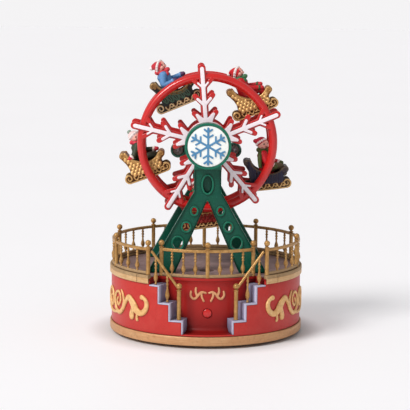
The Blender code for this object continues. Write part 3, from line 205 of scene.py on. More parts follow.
# Cast and hand painted resin: its colour is in the paint attribute, whose alpha is how golden it is,
# and the hollow attribute tells how deep or proud a place is
def castFinish(name, wash, roughness):
    made = Finish(name, specularIorLevel=0.3)
    colour, gilt = made.attribute("paint", "Color"), made.attribute("paint", "Alpha")
    hollow, blots = made.attribute("hollow"), made.noise(1.5)
    deep, proud = hollow.step(0.0, 0.55), (0 - hollow).step(0.08, 0.8)
    dark, pale = made.mix(0.86, colour, wash), made.mix(0.62, colour, (240, 205, 145))
    # Painted shade darkens the hollows and creases
    body = made.mix(deep, colour, dark)
    # Painted highlight lightens what stands proud, more on gilt
    body = made.mix(proud * (gilt * 0.7 + 0.12), body, pale)
    body = made.mix(blots.step(0.5, 0.8) * 0.3, body, dark)
    made.set(metallic=gilt * 0.6)
    made.finished(body, blots * 0.2 + deep * 0.25 + (roughness - 0.1), blots, 0.04)


# Lavender stone steps: treads paler by painted light, outer edges paler, corners darker by painted shade
def stairFinish(base, shade, light, dark):
    made = Finish("stairPaint")
    clouds, fine = made.noise(7), made.noise(1.2)
    up = made.axis("Z", made.node("ShaderNodeNewGeometry", output="Normal"))
    edge = made.radius().step(94.6 * mm, 95.6 * mm)
    body = made.mix(clouds.step(0.35, 0.7) * 0.7, base, shade)
    # Painted light from above: faces turned up are paler
    body = made.mix(up.step(0.6, 0.9) * 0.35, body, light)
    body = made.mix(edge * (fine * 0.6 + 0.55), body, light)
    # Painted shade in corners
    made.finished(made.mix(made.corner(4) * 0.7, body, dark), fine * 0.2 + 0.45, fine + clouds, 0.1)


# Mauve grey deck with cloudy brushed patches, and painted shade in its corners
def deckFinish(base, shade, light, dark):
    made = Finish("deckPaint")
    clouds, strokes = made.noise(11, 4, 0.6), made.noise(4, 5, 0.6, (1, 0.6, 1))
    body = made.mix(clouds.step(0.3, 0.7) * 0.7, base, shade)
    body = made.mix(strokes.step(0.5, 0.8) * 0.5, body, light)
    # Painted shade in corners
    made.finished(made.mix(made.corner(5) * 0.6, body, dark), strokes * 0.25 + 0.5, strokes + clouds, 0.08)


# Green moulding: its raised borders are paler than the sunk fields, a painted highlight; painted shade in
# corners
def greenFinish(base, field, border, pale, dark):
    made = Finish("greenPaint", coatWeight=0.08, coatRoughness=0.12, specularIorLevel=0.22)
    clouds, fine = made.noise(6), made.noise(1.4)
    depth = made.axis("Y")
    # Painted highlight: the front faces of the raised borders are paler
    proud = depth.bigger(0 - depth).step(51.2 * mm, 51.9 * mm)
    body = made.mix(proud * 0.8, made.mix(clouds.step(0.35, 0.7) * 0.55, base, field), border)
    body = made.mix(fine.step(0.5, 0.8) * 0.25, body, pale)
    # Painted shade in corners and holes
    body = made.mix(made.corner(2.4, 0.35, 0.92) * 0.85, body, dark)
    made.finished(body, fine * 0.14 + clouds * 0.1 + 0.2, fine * 0.6 + clouds, 0.06)


# Recess paint with painted shade: darker towards its floor and into its corners
def panelFinish(base, light, floorRed, dark):
    made = Finish("panelRed", coatWeight=0.1, coatRoughness=0.12, specularIorLevel=0.25)
    clouds, fine = made.noise(12, 3), made.noise(1.8)
    # Painted shade, deeper towards the recess floor
    low = 1 - made.axis("Z").step(13 * mm, 44 * mm)
    body = made.mix(clouds.step(0.35, 0.7) * 0.4, base, light)
    body = made.mix(low * 0.8, body, floorRed)
    # Painted shade in corners
    body = made.mix(made.corner(9) * 0.65, body, dark)
    made.finished(body, fine * 0.14 + clouds * 0.1 + 0.34, fine * 0.6 + clouds, 0.05)


# Base, shade and light, then what is set in the finish's own order
paintedFinish("wheelRed", (196, 20, 16), (120, 8, 8), (212, 30, 24), 0.3, 0.5, 2.6, 0.015, 0.4)
paintedFinish("drumRed", (186, 46, 40), (122, 22, 22), (192, 70, 60), 0.42, 0.1, 5.0, 0.05, 0.25)
# The faint pink in this white is painted reflection of the red wheel round the inlays
paintedFinish("whitePaint", (249, 234, 238), (200, 184, 188), (246, 244, 244))
paintedFinish("medallionWhite", (243, 245, 240), (198, 206, 200), (248, 248, 244))
paintedFinish("flakeBlue", (74, 130, 172), (40, 84, 128), (112, 168, 204), 0.4, 0.1, 0.6, 0.05)
# A paler green than the frames': painted light over the case, which lies in the wheel's shade
paintedFinish("caseGreen", (52, 112, 92), (14, 56, 42), (96, 140, 122), 0.36, 0.2)
along = (0.12, 0.12, 3)  # stretches the streaks round the drum
giltFinish("bandGold", (198, 154, 102), (142, 98, 58), (222, 186, 140), 0.25, 0.42, 1.6, along, 0.8)
giltFinish("footGold", (190, 137, 92), (132, 85, 50), (210, 166, 120), 0.2, 0.42, 2.0, along, 0.8)
giltFinish("railGold", (166, 121, 66), (82, 53, 24), (222, 178, 112), 0.35, 0.33, 1.4)
giltFinish("scrollGold", (222, 172, 108), (132, 66, 34), (244, 208, 154))
giltFinish("panelScrollGold", (208, 148, 102), (140, 70, 44), (230, 180, 134), 0.15, 0.45, 0.9)
giltFinish("kerbGold", (162, 130, 92), (96, 70, 44), (188, 158, 116), 0.15, 0.55, 2.2)
bareMetal("steel", (176, 178, 182), (120, 122, 126), 0.32)
bareMetal("brass", (196, 156, 84), (140, 100, 46), 0.35)
plasticFinish("blackPlastic", (28, 28, 30), (52, 52, 54), 0.5)
plasticFinish("footRubber", (34, 34, 36), (58, 57, 58), 0.75)
plasticFinish("cellSleeve", (40, 110, 70), (64, 140, 92), 0.35)
plasticFinish("circuitBoard", (24, 92, 52), (60, 130, 80), 0.45)
plasticFinish("greyWasher", (168, 164, 156), (196, 192, 184), 0.5)
castFinish("castPaint", (72, 40, 14), 0.4)
castFinish("coatPaint", (46, 26, 26), 0.5)
greenFinish((0, 78, 58), (8, 72, 60), (24, 110, 84), (70, 160, 132), (2, 34, 26))
panelFinish((164, 26, 20), (172, 36, 30), (120, 8, 5), (64, 4, 4))
stairFinish((136, 134, 158), (108, 104, 130), (188, 186, 206), (70, 66, 92))
deckFinish((142, 114, 110), (112, 85, 82), (166, 140, 136), (60, 44, 46))

print("shape helpers")


def onDrum(radius, angle, height=0.0):
    return Vector((radius * math.sin(angle), -radius * math.cos(angle), height))


def arc(x, z, radius, start, end, steps):
    turns = [rad(start + (end - start) * k / steps) for k in range(steps + 1)]
    return [(x + radius * math.cos(t), z + radius * math.sin(t)) for t in turns]


# A closed ring of (x, z) points
def oval(x, z, halfX, halfZ, steps=40):
    turns = [fullTurn * k / steps for k in range(steps)]
    return [(x + halfX * math.cos(t), z + halfZ * math.sin(t)) for t in turns]


# Rounds the corners of a closed (x, z) line
def rounded(outline, reach, steps=4):
    made = []
    for k, corner in enumerate(outline):
        here = Vector(corner)
        before = Vector(outline[k - 1]) - here
        after = Vector(outline[(k + 1) % len(outline)]) - here
        if before.length < 1e-6 or after.length < 1e-6 or abs(before.angle(after) - math.pi) < 0.2:
            made.append(corner)
            continue
        start, end = (here + way.normalized() * min(reach, way.length * 0.48) for way in (before, after))
        for t in [s / steps for s in range(steps + 1)]:
            made.append(tuple(start * (1 - t) ** 2 + here * 2 * t * (1 - t) + end * t ** 2))
    return made


# A smooth line through the given points
def flowing(points, steps=6):
    line = [Vector(p) for p in points]
    made = []
    for k in range(len(line) - 1):
        a, b = line[max(k - 1, 0)], line[k]
        d, e = line[k + 1], line[min(k + 2, len(line) - 1)]
        for t in [s / steps for s in range(steps)]:
            made.append(0.5 * ((2 * b) + (d - a) * t + (2 * a - 5 * b + 4 * d - e) * t ** 2
                               + (3 * b - a - 3 * d + e) * t ** 3))
    return made + [line[-1]]


# Merges doubles and turns the faces outwards
def tidy(bm):
    bmesh.ops.remove_doubles(bm, verts=bm.verts, dist=0.002)
    bmesh.ops.dissolve_degenerate(bm, edges=bm.edges, dist=0.0005)
    bmesh.ops.recalc_face_normals(bm, faces=bm.faces)
    return bm


def moved(bm, vector):
    bmesh.ops.translate(bm, vec=vector, verts=bm.verts)
    return bm


def turned(bm, angle, axis):
    bmesh.ops.rotate(bm, cent=(0, 0, 0), matrix=Matrix.Rotation(angle, 3, axis), verts=bm.verts)
    return bm


def inPlace(bm, place):
    bmesh.ops.transform(bm, matrix=place, verts=bm.verts)
    return bm


def mirrored(bm, axis="X"):
    bmesh.ops.scale(bm, vec=[-1 if letter == axis else 1 for letter in "XYZ"], verts=bm.verts)
    bmesh.ops.reverse_faces(bm, faces=bm.faces)
    return bm


# Turns a (radius, height) line round Z: the whole way, or between two compass angles as a solid
def lathe(line, steps=32, span=None):
    bm = bmesh.new()
    first, last = span or (0, fullTurn)
    corners = [bm.verts.new(onDrum(r, first, z)) for r, z in line]
    closing = corners[:1] if line[0][0] > 0 else []
    shape = corners + [bm.edges.new(pair) for pair in zip(corners, corners[1:] + closing)]
    if span:
        shape.append(bm.faces.new(corners))
    bmesh.ops.spin(bm, geom=shape, cent=(0, 0, 0), axis=(0, 0, 1), angle=last - first, steps=steps,
                   use_merge=not span)
    return tidy(bm)


# Lays a lathed shape along the Y axis, its top towards -Y or, backwards, +Y
def lying(line, steps, place=(0, 0, 0), backwards=False):
    return moved(turned(lathe(line, steps), rad(-90 if backwards else 90), "X"), place)


# A face through the points, pulled along a vector into a solid
def pulled(points, vector):
    bm = bmesh.new()
    face = bm.faces.new([bm.verts.new(point) for point in points])
    made = bmesh.ops.extrude_face_region(bm, geom=[face])["geom"]
    bmesh.ops.translate(bm, vec=vector, verts=[v for v in made if isinstance(v, bmesh.types.BMVert)])
    return tidy(bm)


# Raises an (x, y) outline from one height to another
def raised(outline, bottom, top):
    return pulled([(x, y, bottom) for x, y in outline], (0, 0, top - bottom))


# Draws an (angle, height) outline flat, thickens it between two radii and bends it round the drum
def bent(outline, inner, outer, step=rad(2)):
    bm = pulled([(angle, inner, z) for angle, z in outline], (0, outer - inner, 0))
    first = min(angle for angle, _ in outline)
    last = max(angle for angle, _ in outline)
    for k in range(1, int((last - first) / step) + 1):
        bmesh.ops.bisect_plane(bm, geom=bm.verts[:] + bm.edges[:] + bm.faces[:], dist=1e-6,
                               plane_co=(first + k * step, 0, 0), plane_no=(1, 0, 0))
    if math.isclose(last - first, fullTurn):
        ends = [f for f in bm.faces if abs(f.normal.x) > 0.9
                and min(abs(f.calc_center_median().x - edge) for edge in (first, last)) < 1e-6]
        bmesh.ops.delete(bm, geom=ends, context="FACES_ONLY")
    for vertex in bm.verts:
        vertex.co = onDrum(vertex.co.y, vertex.co.x, vertex.co.z)
    return tidy(bm)


def asMesh(bm, name="drawing"):
    mesh = bpy.data.meshes.new(name)
    bm.to_mesh(mesh)
    bm.free()
    return mesh


def asObject(data, name="drawing"):
    holder = bpy.data.objects.new(name, data)
    scene.collection.objects.link(holder)
    return holder


# What an object looks like with its modifiers; the object itself goes
def asShape(holder):
    mesh = bpy.data.meshes.new_from_object(holder.evaluated_get(bpy.context.evaluated_depsgraph_get()))
    bm = bmesh.new()
    bm.from_mesh(mesh)
    bpy.data.objects.remove(holder)
    bpy.data.meshes.remove(mesh)
    return bm


# A curve with one straight line for each list of points
def drawn(dimensions, lines, closed):
    curve = bpy.data.curves.new("outline", "CURVE")
    curve.dimensions = dimensions
    for line in lines:
        spline = curve.splines.new("POLY")
        spline.points.add(len(line) - 1)
        spline.use_cyclic_u = closed
        for point, place in zip(spline.points, line):
            point.co = (*place, *[0] * (3 - len(place)), 1)
    return curve


# A flat plate with round edges from closed (x, z) lines, holes among them, between two depths
def plate(outlines, front, back, edge=0.4, smooth=3):
    lines = []
    for index, outline in enumerate(outlines):
        area = sum(a[0] * b[1] - b[0] * a[1] for a, b in zip(outline, outline[1:] + outline[:1]))
        lines.append(outline if (area > 0) == (index == 0) else outline[::-1])
    curve = drawn("2D", lines, True)
    curve.fill_mode = "BOTH"
    curve.extrude = abs(front - back) / 2 - edge
    curve.bevel_depth = edge
    curve.bevel_resolution = smooth
    curve.offset = -edge
    return moved(turned(tidy(asShape(asObject(curve))), rad(90), "X"), (0, (front + back) / 2, 0))


# A round bar along points, with a radius at each or from first to last, and round ends
def tube(points, radii, sides=12, roundEnds=True):
    line = [Vector(p) for p in points]
    sizes = list(radii) if len(radii) == len(line) else list(np.linspace(*radii, len(line)))
    if roundEnds:
        start, end, small, large = line[0], line[-1], sizes[0], sizes[-1]
        head, tail = (start - line[1]).normalized(), (end - line[-2]).normalized()
        for turn in (0.45, 0.85, 1.2, 1.45):
            line = [start + head * small * math.sin(turn)] + line + [end + tail * large * math.sin(turn)]
            sizes = [small * math.cos(turn)] + sizes + [large * math.cos(turn)]
    curve = drawn("3D", [line], False)
    curve.bevel_depth = 1
    curve.bevel_resolution = (sides - 4) // 2
    curve.use_fill_caps = True
    for point, size in zip(curve.splines[0].points, sizes):
        point.radius = size
    return tidy(asShape(asObject(curve)))


def ball(place, radius, squash=(1, 1, 1), sides=16):
    bm = bmesh.new()
    bmesh.ops.create_uvsphere(bm, u_segments=sides, v_segments=sides * 3 // 4, radius=radius)
    bmesh.ops.scale(bm, vec=squash, verts=bm.verts)
    return moved(bm, place)


def block(low, high):
    bm = bmesh.new()
    bmesh.ops.create_cube(bm, size=1)
    bmesh.ops.scale(bm, vec=[b - a for a, b in zip(low, high)], verts=bm.verts)
    return moved(bm, [(a + b) / 2 for a, b in zip(low, high)])


# Bevels the edges that are sharper than an angle
def softened(bm, width, angle=30):
    sharp = [e for e in bm.edges if len(e.link_faces) == 2 and e.calc_face_angle(0) > rad(angle)]
    bmesh.ops.bevel(bm, geom=sharp, offset=width, segments=2, profile=0.5, affect="EDGES", material=-1,
                    clamp_overlap=True)
    return bm


# Puts separate shapes into one mesh
def gathered(parts):
    whole = bmesh.new()
    for part in parts:
        mesh = asMesh(part)
        whole.from_mesh(mesh)
        bpy.data.meshes.remove(mesh)
    return whole


# Makes the finished piece, in metres and in its place, and ties it to its body and its CAD nodes
def makePiece(name, bm, finish, nodes=(), body="base", sharp=35):
    bmesh.ops.scale(bm, vec=(mm, mm, mm), verts=bm.verts)
    mesh = asMesh(bm, name)
    for each in [finish] if isinstance(finish, str) else finish:
        mesh.materials.append(finishes[each].material)
    mesh.shade_smooth()
    if sharp < 180:
        mesh.set_sharp_from_angle(angle=rad(sharp))
    piece = asObject(mesh, name)
    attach(piece, body)
    if nodes:
        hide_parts(*nodes)
    return piece


# Dresses CAD nodes whose shape stays
def finishNode(finish, *names):
    for name in names:
        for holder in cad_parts[name].material_slots:
            holder.material = finishes[finish].material


# Cuts shapes out of a piece with modifiers and keeps the result
def carved(bm, cutters):
    target = asObject(asMesh(bm))
    tools = [asObject(asMesh(cutter)) for cutter in cutters]
    for tool in tools:
        cut = target.modifiers.new("carve", "BOOLEAN")
        cut.operation = "DIFFERENCE"
        cut.object = tool
        cut.solver = "EXACT"
    made = asShape(target)
    for tool in tools:
        bpy.data.objects.remove(tool)
    bmesh.ops.remove_doubles(made, verts=made.verts, dist=0.002)
    return made


def readOut(rows, key, width, kind=float):
    values = np.empty(len(rows) * width, kind)
    rows.foreach_get(key, values)
    return values.reshape(-1, width)


# How far each point lies below (+) or above (-) its smoothed surroundings, as a share of depth
def hollowness(mesh, rounds, depth):
    count = len(mesh.vertices)
    place, normal = readOut(mesh.vertices, "co", 3), readOut(mesh.vertices, "normal", 3)
    ends = readOut(mesh.edges, "vertices", 2, int)
    near, far = ends[:, 0], ends[:, 1]
    degree = np.maximum(np.bincount(ends.ravel(), minlength=count), 1)

    def averaged(values):
        total = np.bincount(near, values[far], count) + np.bincount(far, values[near], count)
        return total / degree

    smooth = place.copy()
    for _ in range(rounds):
        for k in range(3):
            smooth[:, k] = averaged(smooth[:, k])
    return averaged(averaged(((smooth - place) * normal).sum(1) / depth))


# Melts parts into one casting, and remembers which part each point came from
def melted(parts, voxel, rounds=2):
    surfaces = [BVHTree.FromBMesh(shape) for shape in parts]
    holder = asObject(asMesh(gathered(parts)))
    melt = holder.modifiers.new("melt", "REMESH")
    melt.mode = "VOXEL"
    melt.voxel_size = voxel
    bm = asShape(holder)
    owners = []
    for vertex in bm.verts:
        found = [surface.find_nearest(vertex.co, 3.0) for surface in surfaces]
        reach = [near[3] if near[0] else 9.0 for near in found]
        owners.append(reach.index(min(reach)))
    for _ in range(rounds):
        bmesh.ops.smooth_vert(bm, verts=bm.verts, factor=0.4, use_axis_x=True, use_axis_y=True,
                              use_axis_z=True)
    return bm, owners


# Adds the attributes that the cast finishes read: paint, and how hollow or proud each point is
def painted(piece, tints, owners, rounds=10, depth=0.5):
    mesh = piece.data
    coats = np.array([tints[k] for k in owners], np.float32)
    mesh.color_attributes.new("paint", "FLOAT_COLOR", "POINT").data.foreach_set("color", coats.ravel())
    hollow = mesh.attributes.new("hollow", "FLOAT", "POINT")
    hollow.data.foreach_set("value", hollowness(mesh, rounds, depth * mm).astype(np.float32))


print("camera, lights and floor")

look = {"lens": 132.5, "place": (-0.0333, -1.5564, 0.3378), "tilt": -7.58, "heading": -1.112, "roll": -0.45}
camera = asObject(bpy.data.cameras.new("camera"), "camera")
camera.data.lens = look["lens"]
camera.data.sensor_width = 36
camera.data.clip_end = 60
camera.location = look["place"]
camera.rotation_euler = (rad(90 + look["tilt"]), rad(look["roll"]), rad(look["heading"]))
scene.camera = camera
scene.view_settings.view_transform = "Standard"

suns = {
    "key": {"power": 2.3, "spread": 22, "from": (-0.74, -0.64, 0.95)},
    "fill": {"power": 0.14, "spread": 60, "from": (0.8, -0.6, 0.4)},
}
strip = {"power": 1.8, "size": (0.25, 1.1), "place": Vector((-1.0, -0.7, 0.9)), "aim": Vector((0, 0, 0.16))}


def makeLamp(name, kind, power, source):
    lamp = asObject(bpy.data.lights.new(name, kind), name)
    lamp.data.energy = power
    lamp.rotation_euler = source.to_track_quat("Z", "Y").to_euler()
    return lamp


for name, sun in suns.items():
    makeLamp(name, "SUN", sun["power"], Vector(sun["from"])).data.angle = rad(sun["spread"])
stripLamp = makeLamp("strip", "AREA", strip["power"], strip["place"] - strip["aim"])
stripLamp.data.shape = "RECTANGLE"
stripLamp.data.size, stripLamp.data.size_y = strip["size"]
stripLamp.location = strip["place"]

# The sky lights the object softly, and is seen in the floor's own tone
skyLook = {"light": (0.96, 0.97, 1, 1), "strength": 0.45, "seen": (0.91, 0.9, 0.91, 1)}
scene.world = bpy.data.worlds.new("studio")
sky = Nodes(scene.world)
seenBy = [sky.node("ShaderNodeLightPath", output=f"Is {ray} Ray") for ray in ("Camera", "Transmission")]
glow = sky.node("ShaderNodeBackground", {}, {"Color": skyLook["light"], "Strength": skyLook["strength"]})
tone = sky.node("ShaderNodeBackground", {}, {"Color": skyLook["seen"]})
sky.join(sky.node("ShaderNodeMixShader", {}, {0: seenBy[0].bigger(seenBy[1]), 1: glow, 2: tone}),
         sky.tree.nodes["World Output"].inputs[0])

# Painted light: the floor glows faintly away from the drum's foot and lightens the drum's cast shadow there;
# it stays pale and keeps the shadow at the foot
floorLook = {"radius": 20, "low": (0.71, 0.695, 0.7, 1), "high": (0.74, 0.725, 0.73, 1), "roughness": 0.5,
             "glow": (1, 0.985, 0.99, 1), "strength": 0.255, "from": 0.098, "full": 0.13}
floorShape = bmesh.new()
bmesh.ops.create_circle(floorShape, cap_ends=True, segments=64, radius=floorLook["radius"])
floor = asObject(asMesh(floorShape, "floor"), "floor")
floorFinish = Finish("floorPaint", emissionStrength=floorLook["strength"])
clouds = floorFinish.noise(400, 3)
floorFinish.set(baseColor=floorFinish.mix(clouds, floorLook["low"], floorLook["high"]),
                roughness=clouds * 0.1 + floorLook["roughness"])
away = floorFinish.radius().step(floorLook["from"], floorLook["full"])
floorFinish.set(emissionColor=floorFinish.mix(away, (0, 0, 0, 1), floorLook["glow"]))
floor.data.materials.append(floorFinish.material)

print("drum")

drum = {
    "footRadius": 6, "footHeight": 3.3, "footCircle": 84,
    "ringRadius": 100, "ringInner": 90, "ringBottom": 3, "ringTop": 12, "coverSeat": 92.3, "coverTop": 6.3,
    "wallRadius": 98.4, "wallInner": 95.4, "wallTop": 64.7, "wallBottom": 12.3,
    "bandRadius": 100, "bandInner": 94.8, "bandBottom": 62, "bandTop": 70.5, "kerbHeight": 3.2,
    "deckTop": 68, "deckBottom": 65, "deckFront": 82.5, "rebate": 1.4, "soundHole": 8, "soundHoleY": -36,
    "panelRadius": 79.5, "panelBack": 77, "cove": 5, "floorTop": 13.8, "flare": 2.6, "panelReturn": 1.7,
    "treads": (27.2, 43.9, 61.1), "risers": (14.5, 22.4, 29.4, 36.2), "lip": 1.5,
    "seams": (45.0, 135.0, 225.0, 315.0), "seamGap": 0.11,
}
landing = rad(drum["risers"][-1])
wallSeat = drum["wallRadius"] + play
# Turned outlines of (radius, distance from the drum's middle)
button = {
    "place": (0, 0, 32.2), "hole": [(0, 60), (4.4, 60), (4.4, 90), (0, 90)],
    "dish": [(0, 79), (4.7, 79), (5, 79.3), (5.3, 82.5), (0, 82.5)],
    "dome": [(0, 73.7), (2, 73.7), (2, 74.9), (6, 74.9), (6, 76.3), (4.3, 76.3), (4.3, 79.3),
             *arc(3.4, 79.6, 0.9, 0, 70, 5), (2.2, 80.65), (1.1, 80.8), (0, 80.85)],
}


def makeFeet():
    r, h = drum["footRadius"], drum["footHeight"]
    line = [(0, 0), (r - 1.4, 0), (r - 1, 0.25), (r - 0.2, 0.5), (r, 1), (r, h), (0, h)]
    for k in range(4):
        foot = moved(lathe(line, 36), onDrum(drum["footCircle"], rad(45 + 90 * k)))
        makePiece(f"rubberFoot{k + 1}", foot, "footRubber", [f"foot_{k + 1}"])


def makeFootRing():
    r, low, high = drum["ringRadius"], drum["ringBottom"], drum["ringTop"]
    seat, inner, cover = drum["coverSeat"], drum["ringInner"], drum["coverTop"]
    line = [(seat, low), (r - 1.3, low), *arc(r - 1.3, low + 1.3, 1.3, -90, 0, 4), (r, high - 1.6),
            *arc(r - 1.2, high - 1.2, 1.2, 0, 90, 4), (wallSeat, high), (wallSeat - 0.5, high - 0.4),
            (inner, high - 0.4), (inner, cover), (seat, cover)]
    makePiece("goldFootRing", lathe(line, 160), "footGold", ["foot_ring"])


# The wall's top edge: it steps down with the stairs, and in front of the recess only a sill is left
def wallSteps(above=0.0):
    line = [(landing, drum["wallTop"])]
    tops = [top - drum["lip"] for top in reversed(drum["treads"])] + [drum["floorTop"]]
    for top, riser in zip(tops, reversed(drum["risers"])):
        lip = drum["lip"] if top != tops[0] else 0
        edge = rad(riser) + (lip - above) / drum["wallRadius"]
        line += [(edge, line[-1][1]), (edge, top + above)]
    return line[1:]


def makeWall():
    right = wallSteps()
    left = [(-angle, z) for angle, z in reversed(right)]
    low, top = drum["wallBottom"], drum["wallTop"]
    outline = [(-math.pi, low), (math.pi, low), (math.pi, top), *right, *left, (-math.pi, top)]
    wall = bent(outline, drum["wallInner"], drum["wallRadius"])
    makePiece("redDrumWall", softened(wall, 0.35), "drumRed", ["drum_shell"])


# A curved panel with a cove and a floor, flared where it meets the deck, with a dish for the button
def makePanel():
    face, back, out = drum["panelRadius"], drum["panelBack"], drum["wallInner"] - play
    low, high, cove, floorTop = drum["wallBottom"], drum["wallTop"], drum["cove"], drum["floorTop"]
    line = [(back, low), (out, low), (out, floorTop), *arc(face + cove, floorTop + cove, cove, -90, -180, 8),
            (face, high - 7), (face + 0.9, high - 3), (face + drum["flare"], high), (back, high)]
    sides = landing + rad(drum["panelReturn"])
    returns = [bent([(s * landing, low), (s * sides, low), (s * sides, high), (s * landing, high)],
                    back + 1, out - 0.2) for s in (1, -1)]
    cuts = [lying(button[key], 48, button["place"]) for key in ("dish", "hole")]
    shell = carved(lathe(line, 60, (-sides, sides)), cuts)
    makePiece("redRecessPanel", gathered([shell, *returns]), "panelRed", ["front_panel"])


# One flight, cut back where the wall and the cove are
def makeStairs(side, name):
    low, face = drum["floorTop"] + play, drum["panelRadius"]
    first, after = rad(drum["risers"][0]), landing - play / face
    outline = [(first, low), (after, low)]
    for riser, tread in zip(reversed(drum["risers"][:-1]), reversed(drum["treads"])):
        outline += [(after, tread), (rad(riser), tread)]
        after = rad(riser)
    steps = bent(outline, face + play, drum["wallRadius"] + 0.2, rad(1.5))
    edge = wallSteps(play)
    start, end = first - rad(3), landing + rad(3)
    below = edge[1:] + [(start, low), (start, 0), (end, 0), (end, edge[1][1])]
    skirt = bent(below, drum["wallInner"] - play, drum["wallRadius"] + 5, rad(1.5))
    near, slope = face - 1, face + drum["cove"] + drum["floorTop"] + 0.45
    cove = lathe([(near, 12), (slope - 12, 12), (near, slope - near)], 30, (0, landing + rad(8)))
    flight = softened(carved(steps, [skirt, cove]), 0.4, 40)
    if side < 0:
        mirrored(flight)
    makePiece(f"lavenderStairs_{name}", flight, "stairPaint", [f"stairs_{name}"])


# The edge of the deck over the recess is painted as the panel is
def makeDeck():
    top, low, front = drum["deckTop"], drum["deckBottom"], drum["deckFront"]
    thin = top - drum["rebate"]
    edge, inner, r = drum["wallRadius"] - play, drum["bandInner"] - play, drum["soundHole"]
    board = lathe([(0, low), (edge, low), (edge, thin), (inner, thin), (inner, top), (0, top)], 120)
    bow = [onDrum(front, landing * (k / 30 - 1)).xy for k in range(61)]
    notch = raised([onDrum(130, -landing).xy, *bow, onDrum(130, landing).xy], low - 5, top + 5)
    hole = lathe([(0, low - 3), (r, low - 3), (r, top + 3), (0, top + 3)], 40)
    board = softened(carved(board, [notch, moved(hole, (0, drum["soundHoleY"], 0))]), 0.35, 40)
    for face in board.faces:
        middle = face.calc_center_median()
        if abs(face.normal.z) < 0.6 and middle.y < -50 and middle.xy.length > front - 3:
            face.material_index = 1
    makePiece("mauveDeck", board, ["deckPaint", "panelRed"], ["deck"])


# A gold band in lengths with fine seams; above its groove it is a duller kerb
def makeBand():
    low, high, r, inner = drum["bandBottom"], drum["bandTop"], drum["bandRadius"], drum["bandInner"]
    seat, kerb = drum["deckTop"] - drum["rebate"] + play, high - drum["kerbHeight"]
    line = [(inner, seat), (wallSeat, seat), (wallSeat, low), (r - 0.4, low), (r, low + 0.5),
            (r, kerb - 0.3), (r - 0.35, kerb), (r, kerb + 0.3), *arc(r - 1, high - 1, 1, 0, 90, 4),
            *arc(inner + 0.5, high - 0.5, 0.5, 90, 180, 3)]
    start, gap = landing + play / r, rad(drum["seamGap"])
    cuts = [rad(seam) for seam in drum["seams"]]
    spans = zip([start, *[cut + gap for cut in cuts]], [*[cut - gap for cut in cuts], fullTurn - start])
    parts = [softened(lathe(line, max(8, int((b - a) / rad(2.2))), (a, b)), 0.25, 60) for a, b in spans]
    for face in [face for part in parts for face in part.faces]:
        face.material_index = 1 if face.calc_center_median().z > kerb else 0
    makePiece("goldDeckBand", gathered(parts), ["bandGold", "kerbGold"], ["deck_ring"])


makeFeet()
makeFootRing()
makeWall()
makePanel()
for side, hand in hands:
    makeStairs(side, hand)
makeDeck()
makeBand()

print("railings")

railing = {
    "post": 2.0, "ball": 2.95, "outerRadius": 96.4, "frontRadius": 80.8, "outerPost": 37.8,
    "frontPost": 34.6, "outerBall": 102.6, "frontBall": 101.2, "outerBase": 70.8, "frontBase": 68.3,
    "topBelowBall": 6.4, "railHeight": 3, "railWidth": 2.8, "baluster": 2.05, "perBay": 3, "bays": 8,
    "stairPost": (91.5, 18), "stairBall": 61, "stairRail": 1.35, "stairRailTop": 99, "stairRailBottom": 58,
    "stairBalusters": ((1, 0.375), (2, 0.75)),
}
# A baluster's outline, as shares of its radius and height: foot, bulb, slim waist and beads
balusterLine = [
    (0.62, 0), (0.62, 0.04), (0.42, 0.07), (0.5, 0.1), (0.86, 0.16), (1.08, 0.23), (1.05, 0.29),
    (0.82, 0.36), (0.56, 0.43), (0.44, 0.5), (0.42, 0.56), (0.62, 0.585), (0.66, 0.605), (0.62, 0.625),
    (0.42, 0.65), (0.44, 0.68), (0.68, 0.71), (0.74, 0.735), (0.68, 0.76), (0.42, 0.79), (0.44, 0.815),
    (0.66, 0.84), (0.7, 0.865), (0.64, 0.89), (0.42, 0.92), (0.46, 0.95), (0.66, 0.965), (0.66, 1),
]


# A plain post with a collar, a neck and a ball, standing at z = 0
def post(height):
    r, knob = railing["post"], railing["ball"]
    low = height - knob
    line = [(0, 0), (r + 0.25, 0), (r + 0.25, 0.9), (r, 1.3), (r, low - 1.9), (r + 0.45, low - 1.5),
            (r + 0.45, low - 0.9), (r * 0.62, low - 0.4), (r * 0.58, low + 0.35)]
    return lathe([*line, *arc(0, height, knob, -62, 84, 10), (0, height + knob)], 28)


def baluster(height):
    line = [(railing["baluster"] * r, height * z) for r, z in balusterLine]
    return lathe([(0, 0), *line, (0, height)], 16)


# A length of railing on the posts at some angles; an end without its own post stops short of it
def makeRailing(name, radius, base, ballHeight, posts, ends=(True, True)):
    topRail, lowRail = ballHeight - railing["topBelowBall"], base + railing["railHeight"] / 2
    w, h = railing["railWidth"] / 2, railing["railHeight"] / 2
    standing = posts[0 if ends[0] else 1:len(posts) if ends[1] else -1]
    setback = (railing["post"] + play) / radius
    start = posts[0] + (0 if ends[0] else setback)
    finish = posts[-1] - (0 if ends[1] else setback)
    parts = [moved(post(ballHeight - base), onDrum(radius, angle, base)) for angle in standing]
    low, high = lowRail + h - 0.5, topRail - h + 0.5
    for near, far in zip(posts, posts[1:]):
        for k in range(railing["perBay"]):
            angle = near + (far - near) * (k + 1) / (railing["perBay"] + 1)
            parts.append(moved(baluster(high - low), onDrum(radius, angle, low)))
    for middle, material in ((lowRail, 1), (topRail, 0)):
        corners = rounded([(-w, -h), (w, -h), (w, h), (-w, h)], 0.75)
        line = [(radius + x, middle + z) for x, z in corners]
        bar = lathe(line, int((finish - start) / rad(2.4)), (start, finish))
        for face in bar.faces:
            face.material_index = material
        parts.append(bar)
    makePiece(f"gold_{name}", gathered(parts), ["railGold", "kerbGold"], [name])


